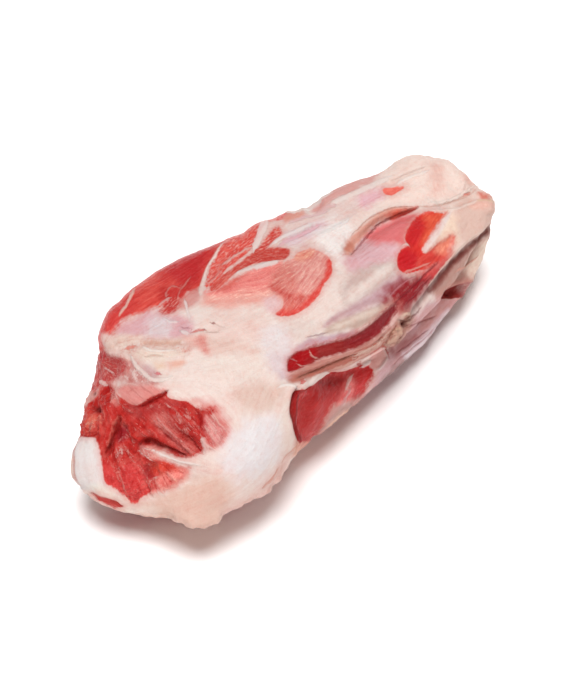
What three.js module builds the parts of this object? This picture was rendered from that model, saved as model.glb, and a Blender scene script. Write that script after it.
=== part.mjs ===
// A raw lamb shank lying on its side, as one solid from its thick cut end to its knuckle.
// Millimetres, +Z up. X runs along the shank from the cut end to the knuckle, and it rests on Z = 0.
// A place on the skin is a station along X and a clock angle in degrees:
// 0 is the far side (+Y), 90 the top, 180 the near side and 270 the underside.
import * as THREE from "three";
import { mergeVertices } from "three/addons/utils/BufferGeometryUtils.js";

// Driving dimensions
const LENGTH = 179;
const CUT_END_ROUNDING = 31;
const KNUCKLE_ROUNDING = 18;
const CUT_END_FULLNESS = 2.0;
const KNUCKLE_FULLNESS = 3.5;
const SECTION_FULLNESS = 2.25;
const SETTLE = 2.5; // how far the meat's own weight flattens it against the table

// Sizes at evenly spaced stations, from the cut end to the knuckle
const HALF_WIDTHS = [23, 34, 38, 35, 31, 26, 20];
const HEIGHTS = [41, 58, 63, 61, 54, 45, 37];
const SIDE_SHIFTS = [4, 3, 6, 4, 3, 3, 3];
const LIFTS = [3, 0, 0, 0, 2, 5, 8];

// Fineness of the skin, whose columns crowd together on the upper side
const ROWS = 79;
const COLUMNS = 74;
const CROWDING = 0.35;
const CROWDED_ANGLE = 130;

// The main cleft between the muscle groups, steep under its upper lip and easy below
const CLEFT_ANGLES = [160, 160, 152, 173, 186, 183, 166];
const CLEFT = { depth: 6, steepWidth: 3, easyWidth: 7, from: -24, to: 88, runOut: 16 };

// The flap of fat that wraps the cut end: its rim hangs low on the near side, and its side edge
// leans back towards the cut end as it goes down
const FLAP = {
  thickness: 4,
  edge: 2.2,
  rimAngle: 196,
  rimWave: 4,
  rimWaveLength: 57,
  sideStation: -23,
  sideLean: 16,
  leanAngle: 205,
  leanSpan: 38,
  fadeAngle: 205,
  fadeFrom: 10,
  fadeTo: 30,
};

// The torn hollow in the cut end, crossed by ridges of torn fibres
const HOLLOW = { at: [-76, 122], long: 15, wide: 18, proud: -3.5, sharpness: 2 };
const FIBRES = {
  along: new THREE.Vector3(0, -0.95, -0.32),
  across: new THREE.Vector3(-0.71, 0.22, -0.67),
  spacing: 8,
  height: 1.1,
  swayLength: 30,
};

const { clamp, degToRad, radToDeg, smoothstep } = THREE.MathUtils;
const bell = (t) => Math.exp(-t * t);
const wrap = (degrees) => ((((degrees + 180) % 360) + 360) % 360) - 180;

// The body

function along(values) {
  const curve = new THREE.SplineCurve(values.map((value, i) => new THREE.Vector2(i, value)));
  return (x) => curve.getPoint(clamp(x / LENGTH + 0.5, 0, 1)).y;
}
const halfWidthAt = along(HALF_WIDTHS);
const heightAt = along(HEIGHTS);
const shiftAt = along(SIDE_SHIFTS);
const liftAt = along(LIFTS);
const cleftAt = along(CLEFT_ANGLES);
const middleAt = (x) => new THREE.Vector3(x, shiftAt(x), liftAt(x) + heightAt(x) / 2);

// The share of the full section left at x, which falls to nothing at each rounded end
function shareAt(x) {
  const round = (t, n) => (t >= 1 ? 1 : Math.pow(Math.max(0, 1 - Math.pow(1 - t, n)), 1 / n));
  const fromCutEnd = (x + LENGTH / 2) / CUT_END_ROUNDING;
  const fromKnuckle = (LENGTH / 2 - x) / KNUCKLE_ROUNDING;
  return round(fromCutEnd, CUT_END_FULLNESS) * round(fromKnuckle, KNUCKLE_FULLNESS);
}

function skinPoint(x, degrees) {
  const c = Math.cos(degToRad(degrees));
  const s = Math.sin(degToRad(degrees));
  const sides = Math.pow(Math.abs(c) / halfWidthAt(x), SECTION_FULLNESS);
  const height = Math.pow((2 * Math.abs(s)) / heightAt(x), SECTION_FULLNESS);
  const radius = shareAt(x) * Math.pow(sides + height, -1 / SECTION_FULLNESS);
  return middleAt(x).add(new THREE.Vector3(0, radius * c, radius * s));
}

function clockAngle(p) {
  const middle = middleAt(p.x);
  return (radToDeg(Math.atan2(p.z - middle.z, p.y - middle.y)) + 360) % 360;
}

// Stations spaced evenly over the skin, from one end's pole to the other's
function rowStations() {
  const steps = 600;
  const outline = [];
  for (let i = 0; i <= steps; i++) {
    const x = (-LENGTH / 2) * Math.cos((Math.PI * i) / steps);
    outline.push(new THREE.Vector2(x, shareAt(x) * halfWidthAt(x)));
  }
  const curve = new THREE.SplineCurve(outline);
  curve.arcLengthDivisions = 4 * steps;
  return curve.getSpacedPoints(ROWS).map((p) => clamp(p.x, -LENGTH / 2, LENGTH / 2));
}

// Columns crowd towards the upper side, and those near the main cleft swing to follow it.
function columnAngle(column, x) {
  const cleftColumn = 167;
  const swing = 32;
  const turn = (-360 * column) / COLUMNS;
  const crowd = radToDeg(CROWDING * Math.sin(degToRad(turn - CROWDED_ANGLE)));
  const angle = turn - crowd;
  return angle + (cleftAt(x) - cleftColumn) * bell(wrap(angle - cleftColumn) / swing);
}

// The station of the flap's side edge
function flapSideAt(degrees) {
  return FLAP.sideStation - FLAP.sideLean * bell(wrap(degrees - FLAP.leanAngle) / FLAP.leanSpan);
}

// Rows within reach of the flap's side edge lean to follow it.
function leaningStation(x, degrees) {
  const reach = 45;
  const near = Math.max(0, 1 - Math.pow((x - FLAP.sideStation) / reach, 2));
  return x + (flapSideAt(degrees) - FLAP.sideStation) * near * near;
}

function smoothBody() {
  const sphere = new THREE.SphereGeometry(1, COLUMNS, ROWS);
  rowStations().forEach((station, row) => {
    for (let column = 0; column <= COLUMNS; column++) {
      const x = leaningStation(station, columnAngle(column, station));
      const p = skinPoint(x, columnAngle(column, x));
      sphere.attributes.position.setXYZ(row * (COLUMNS + 1) + column, p.x, p.y, p.z);
    }
  });
  sphere.deleteAttribute("normal");
  sphere.deleteAttribute("uv");
  const body = mergeVertices(sphere, 1e-3);
  body.computeVertexNormals();
  return body;
}

// Relief: each form gives how far the skin stands proud at a point

// A muscle's belly, a knob or a hollow, which a higher sharpness gives a flat top and steep sides
function swell({ at: [x, degrees], long, wide, proud, sharpness = 1 }) {
  const centre = skinPoint(x, degrees);
  return (p) => {
    const along = (p.x - centre.x) / long;
    const across = Math.hypot(p.y - centre.y, p.z - centre.z) / wide;
    return proud * bell(Math.pow(Math.hypot(along, across), sharpness));
  };
}

// A seam, cleft or cord of sinew that follows places on the skin and runs out at both ends
function line({ through, width, proud }) {
  const points = through.map(([x, degrees]) => skinPoint(x, degrees));
  const samples = new THREE.CatmullRomCurve3(points, false, "centripetal").getSpacedPoints(60);
  return (p) => {
    let nearest = 0;
    samples.forEach((q, i) => {
      if (p.distanceToSquared(q) < p.distanceToSquared(samples[nearest])) nearest = i;
    });
    const t = nearest / (samples.length - 1);
    const runOut = Math.min(1, 5 * t + 0.15, 5 * (1 - t) + 0.15);
    return proud * runOut * bell(p.distanceTo(samples[nearest]) / width);
  };
}

// How far below a clock angle a point lies, measured over the skin
function belowAngle(p, degrees) {
  const middle = middleAt(p.x);
  return degToRad(wrap(clockAngle(p) - degrees)) * Math.hypot(p.y - middle.y, p.z - middle.z);
}

function mainCleft(p) {
  const below = belowAngle(p, cleftAt(p.x));
  const width = below > 0 ? CLEFT.easyWidth : CLEFT.steepWidth;
  const begun = smoothstep(p.x, CLEFT.from, CLEFT.from + CLEFT.runOut);
  const ended = smoothstep(p.x, CLEFT.to - CLEFT.runOut, CLEFT.to);
  return -CLEFT.depth * begun * (1 - ended) * bell(below / width);
}

function fatFlap(p) {
  const wave = FLAP.rimWave * Math.sin((2 * Math.PI * p.x) / FLAP.rimWaveLength);
  const insideRim = -belowAngle(p, FLAP.rimAngle + wave);
  const insideSide = flapSideAt(clockAngle(p)) - p.x;
  const inside = smoothstep(Math.min(insideRim, insideSide), -FLAP.edge, FLAP.edge);
  const outwards = skinPoint(0, FLAP.fadeAngle).sub(middleAt(0)).normalize();
  const lowAndNear = p.clone().sub(middleAt(p.x)).dot(outwards);
  return FLAP.thickness * inside * smoothstep(lowAndNear, FLAP.fadeFrom, FLAP.fadeTo);
}

const tornHollow = swell(HOLLOW);
function tornFibres(p) {
  const sway = Math.sin((2 * Math.PI * p.dot(FIBRES.along)) / FIBRES.swayLength);
  const ridges = Math.sin((2 * Math.PI * p.dot(FIBRES.across)) / FIBRES.spacing + sway);
  const shareOfHollow = tornHollow(p) / HOLLOW.proud;
  return FIBRES.height * ridges * shareOfHollow * shareOfHollow;
}

const muscles = [
  swell({ at: [-22, 38], long: 34, wide: 15, proud: 2 }), // long muscle along the far edge
  swell({ at: [-46, 36], long: 12, wide: 12, proud: 4 }), // its blunt end
  swell({ at: [12, 50], long: 20, wide: 9, proud: 1.5 }), // grainy muscle behind it
  swell({ at: [2, 104], long: 13, wide: 13, proud: 1.6, sharpness: 2 }), // rounded pad on top
  swell({ at: [40, 126], long: 26, wide: 9, proud: 3 }), // muscle under silverskin
  swell({ at: [-4, 150], long: 24, wide: 6, proud: 1.5 }), // strip of muscle beside it
  swell({ at: [46, 204], long: 30, wide: 10, proud: 4 }), // lower muscle on the near side
  swell({ at: [50, 46], long: 14, wide: 8, proud: 2 }), // small muscle on the far edge
  swell({ at: [-10, 350], long: 45, wide: 14, proud: 2 }), // far side's own long muscle
];
const knuckle = [
  swell({ at: [77, 56], long: 11, wide: 11, proud: 3.5 }), // upper knob of the joint
  swell({ at: [85, 135], long: 9, wide: 9, proud: 3 }), // near knob
  swell({ at: [80, 10], long: 12, wide: 12, proud: 2 }), // far knob
  line({ through: [[88, 116], [84, 112], [74, 112], [64, 107]], width: 4.5, proud: -2.5 }), // crease
];
const clefts = [
  mainCleft,
  line({ through: [[20, 104], [36, 96], [49, 95], [62, 104]], width: 4.5, proud: -4 }), // under the fold
  line({ through: [[44, 198], [54, 198], [63, 194]], width: 4, proud: -3 }), // pocket on the near side
  line({ through: [[-29, 72], [-23, 63], [-8, 52]], width: 4, proud: -2 }), // between far muscles
  line({ through: [[8, 318], [-20, 322], [-50, 330]], width: 6, proud: -2.5 }), // under the far muscle
];
const cutEnd = [
  fatFlap,
  swell({ at: [-67, 44], long: 10, wide: 12, proud: -5 }), // trimmed far corner
  swell({ at: [-88, 6], long: 8, wide: 12, proud: 3.5 }), // thick edge of the fat
  swell({ at: [-74, 186], long: 10, wide: 7, proud: 4.5 }), // tab of the flap's rim
  tornHollow,
  tornFibres,
  line({ through: [[-82, 96], [-76, 114], [-66, 134]], width: 5, proud: -2 }), // crevice across the hollow
];
const relief = [...muscles, ...knuckle, ...clefts, ...cutEnd];

function shankSolid() {
  const body = smoothBody();
  const { position, normal } = body.attributes;
  const p = new THREE.Vector3();
  const out = new THREE.Vector3();
  for (let i = 0; i < position.count; i++) {
    p.fromBufferAttribute(position, i);
    out.fromBufferAttribute(normal, i);
    p.addScaledVector(out, relief.reduce((sum, form) => sum + form(p), 0));
    position.setXYZ(i, p.x, p.y, Math.max(p.z - SETTLE, 0));
  }
  body.computeBoundingBox();
  const centre = body.boundingBox.getCenter(new THREE.Vector3());
  return body.translate(-centre.x, -centre.y, 0);
}

const meat = new THREE.MeshStandardMaterial({ color: 0xd9a79c, roughness: 0.45, metalness: 0 });
const shank = new THREE.Mesh(shankSolid(), meat);
shank.name = "shank";

const part = new THREE.Group();
part.add(shank);
export default part;
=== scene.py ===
import math
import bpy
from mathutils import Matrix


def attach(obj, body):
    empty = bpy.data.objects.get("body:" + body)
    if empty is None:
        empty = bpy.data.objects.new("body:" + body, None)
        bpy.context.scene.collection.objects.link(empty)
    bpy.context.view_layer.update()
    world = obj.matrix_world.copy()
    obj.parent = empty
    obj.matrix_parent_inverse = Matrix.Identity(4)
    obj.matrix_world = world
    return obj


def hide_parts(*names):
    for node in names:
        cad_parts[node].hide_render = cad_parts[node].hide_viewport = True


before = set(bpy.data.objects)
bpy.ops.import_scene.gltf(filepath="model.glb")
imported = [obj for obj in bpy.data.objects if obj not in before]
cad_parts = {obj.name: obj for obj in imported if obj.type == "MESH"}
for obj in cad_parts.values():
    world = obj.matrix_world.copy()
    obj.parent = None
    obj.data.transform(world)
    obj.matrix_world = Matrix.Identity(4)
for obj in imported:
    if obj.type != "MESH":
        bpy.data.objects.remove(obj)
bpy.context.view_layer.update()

from types import SimpleNamespace

import bmesh
import bpy
import numpy as np
from mathutils import Matrix, Vector, noise

MM = 0.001

# The photograph's frame and the camera, which looks down on the near side from the cut end.
# Lengths are in millimetres, and a pixel is a place in the frame, right and down.
FRAME_WIDTH, FRAME_HEIGHT = 570, 684
CAMERA_AZIMUTH, CAMERA_ELEVATION = math.radians(-46), math.radians(50)
CAMERA_DISTANCE = 776
CAMERA_AIM = np.array([-5.5, -5.8, 29.8])
LENS, SENSOR = 120, 36
FOCAL_PIXELS = LENS / SENSOR * FRAME_HEIGHT
PIXELS_PER_MM = FOCAL_PIXELS / CAMERA_DISTANCE
BACK = np.array([
    math.sin(CAMERA_AZIMUTH) * math.cos(CAMERA_ELEVATION),
    -math.cos(CAMERA_AZIMUTH) * math.cos(CAMERA_ELEVATION),
    math.sin(CAMERA_ELEVATION),
])
RIGHT = np.array([math.cos(CAMERA_AZIMUTH), math.sin(CAMERA_AZIMUTH), 0])
UP = np.cross(BACK, RIGHT)
EYE = CAMERA_AIM + BACK * CAMERA_DISTANCE

GLOSS = 0.008  # the white that the wet gloss adds to every paint
PAINT_SHARE = 0.65  # the light is brighter than a paint needs to look as its code says
DARKEST = 0.005  # the least light in a paint


def paint(code):
    """A paint's red, green and blue as light, from its code as seen on a screen, less its gloss."""
    seen = np.array([int(code[i:i + 2], 16) / 255 for i in (0, 2, 4)])
    light = np.where(seen <= 0.04045, seen / 12.92, ((seen + 0.055) / 1.055) ** 2.4)
    return PAINT_SHARE * np.maximum(light - GLOSS, DARKEST)


FAT = paint("F1E2DA")
LEAN_RED = paint("C43C38")
# the painted shade in clefts and holes
CLEFT_SHADE = paint("5E1412")
TUFT_WHITE = paint("F8EEE6")
HALO_PINK = paint("DF857B")
TORN_PALE = paint("DC8C84")
TORN_PINK = paint("DF7268")
FLECK_PALE = paint("F2BDB2")
GLINT_PALE = paint("EBAAA1")

# What the light and the dark places in the grain do to a tone's red, green and blue
FAT_TINTS = {
    "blotch": (0.98, 0.86, 0.84),
    "light_streak": (1.08, 1.16, 1.17),
    "dark_streak": (0.92, 0.76, 0.75),
    "thread": (0.93, 0.8, 0.79),
    "dark_veil": (0.96, 0.83, 0.82),
    "light_veil": (1.03, 1.07, 1.08),
    "tuft_gap": (0.9, 0.66, 0.62),
    "pore": (0.98, 0.9, 0.88),
    "mottle": (0.97, 0.86, 0.83),
}
LEAN_TINTS = {
    "light_fibre": (1.12, 1.4, 1.37),
    "dark_fibre": (0.88, 0.66, 0.66),
    "mottle": (0.9, 0.68, 0.7),
    "light_thread": (1.16, 1.7, 1.62),
    "dark_thread": (0.9, 0.7, 0.7),
    "light_speck": (1.12, 1.75, 1.65),
    "dark_speck": (0.93, 0.62, 0.62),
    "torn_gap": (0.8, 0.5, 0.5),
    "torn_hollow": (0.82, 0.56, 0.58),
}

# Random grain: size in millimetres, detail; and grain drawn out along the fibres: size, steps
GRAINS = {"wander": (4, 3), "ragged": (1.1, 3), "blotches": (7, 4), "mottle": (1.8, 4), "pores": (0.6, 2)}
COMBED_GRAINS = {
    "fibres": (1.0, 7), "threads": (0.4, 7), "flecks": (0.5, 3), "tufts": (1.3, 3), "glints": (0.7, 3),
    "grains": (0.9, 2), "veils": (2.6, 5),
}
GRAIN_STEP = 0.8  # a step along the fibres, as a share of the grain's size
GRAIN_CONTRAST = 2.0  # gives back the contrast that the steps even out

# The finish: lengths in millimetres
LINE_STRENGTH = 0.75  # how much a strand or a nick covers what lies under it
LINE_BLUR = 0.22  # softness of its edge
RAGGED_REACH, RAGGED_FADE = 0.8, 0.3  # how far its ragged edge may stray, and where that fades
BUMP_STRENGTH, BUMP_DEPTH = 0.6, 0.7
WET_SPECULAR = 0.05
GLOW_WEIGHT, GLOW_RADIUS, GLOW_DEPTH = 0.08, (1.0, 0.35, 0.25), 1.5  # the light that soaks into the meat

# The skin: places that count as one, in metres, and how often it is made finer
SAME_PLACE = 1e-6
SKIN_LEVELS = 2

# How a point faces the camera, from 1, straight at it, to -1, straight away
PAINT_FACING = (-0.45, -0.2)  # where the paints that the photograph shows fade in
RELIEF_FACING = (-0.5, -0.15)  # where their relief fades in
LINE_FACING = -0.05  # where their strands and nicks begin

# The skin unrolled, slit open along one clock angle
ROUND_MM = 0.5  # millimetres round the skin for each degree of the clock
CLOCK_START = 100
SLICES = 40  # slices along the shank, each with its own middle for the clock

# How paints and lines are laid, in millimetres
REACH = 8  # how far from an outline or a line a place is still measured
FAR_OFF = 9.0  # the distance of a place with no line near it
FAT_STREAK = 0.4  # how streaky bare fat is
LEAN_SOFT = 0.15  # softness of the lean meat's edge where nothing else is said
LEAN_SPREAD = 1.5  # how far a muscle's tone goes past its outline
LEAN_OVERLAP = 0.3  # how much shallower than the one before a muscle may lie and still show
SINK_EDGE = (-0.3, 0.7)  # where a muscle starts to sink and has sunk
TORN_EDGE = (-0.6, 1.2)  # where the torn fibres start and are full
LINE_EDGE = (-0.35, 0.25)  # where a strand starts to rise and has risen
LINE_HEIGHT = 0.25  # how far a strand stands up and a nick lies down
DEEP_EDGE = (-1, 0.6)  # where a cleft starts and is full, in half widths
EDGE_WANDER = 0.6  # how far a soft edge wanders, as a share of its softness
WANDER_SIZE = 3
BLUNT_ENDS = 0.3  # the share of its width that a line keeps at its ends
LINE_SHARE = 0.05  # the least share of its chart that a place with lines has
GUIDE_BLUR = 4  # how far from a guide line the fibres still lie straight along it, in pixels
STEEPEST = 0.25  # fibres lie no steeper than on a point that faces the camera this much
CURVE_STEPS = 5  # points on a curve for each given one
NOWHERE, TINY = 1e9, 1e-9

# Relief all over the skin: heights and sizes in millimetres
FIBRE_HEIGHT, TORN_HEIGHT, FIBRE_SIZE = 0.1, 1.0, 2.2
COMB_STEP, COMB_EVENNESS = 0.7, 3  # step along the fibres in sizes, and what the steps' sum is divided by
KNUCKLE_HEIGHT, KNUCKLE_SIZE, KNUCKLE_START = 0.3, 4, (50, 65)  # it starts and is full at these stations
SWELL_HEIGHT, SWELL_SIZE = 0.3, 9
PIT_HEIGHT, PIT_SIZE = 0.08, 2.2

# The stage: a white floor, dim warm surroundings, two low softboxes in front and a wide light overhead.
# Lengths are in metres.
FLOOR_REACH, FLOOR_WHITE, FLOOR_ROUGHNESS = 4, (0.97, 0.97, 0.97, 1), 0.9
STUDIO_COLOUR, STUDIO_STRENGTH = (1, 0.55, 0.5, 1), 0.12
SOFTBOXES = {"left_softbox": (-0.8, 6.4), "right_softbox": (0.9, 7.2)}  # how far to the right, power
SOFTBOX_COLOUR = (1, 0.92, 0.9)
SOFTBOX_WIDTH, SOFTBOX_HEIGHT, SOFTBOX_DISTANCE = 0.9, 0.27, 1.4
SOFTBOX_RISE = 0.12  # how far up it stands for each length towards the camera
SOFTBOX_AIM = 0.03  # height of the spot that it faces
OVERHEAD_STRENGTH, OVERHEAD_SPREAD = 4.25, math.radians(33)
OVERHEAD_NEARER, OVERHEAD_LEFT = 0.03, 0.01  # how far it leans to the camera and to the left
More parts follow.
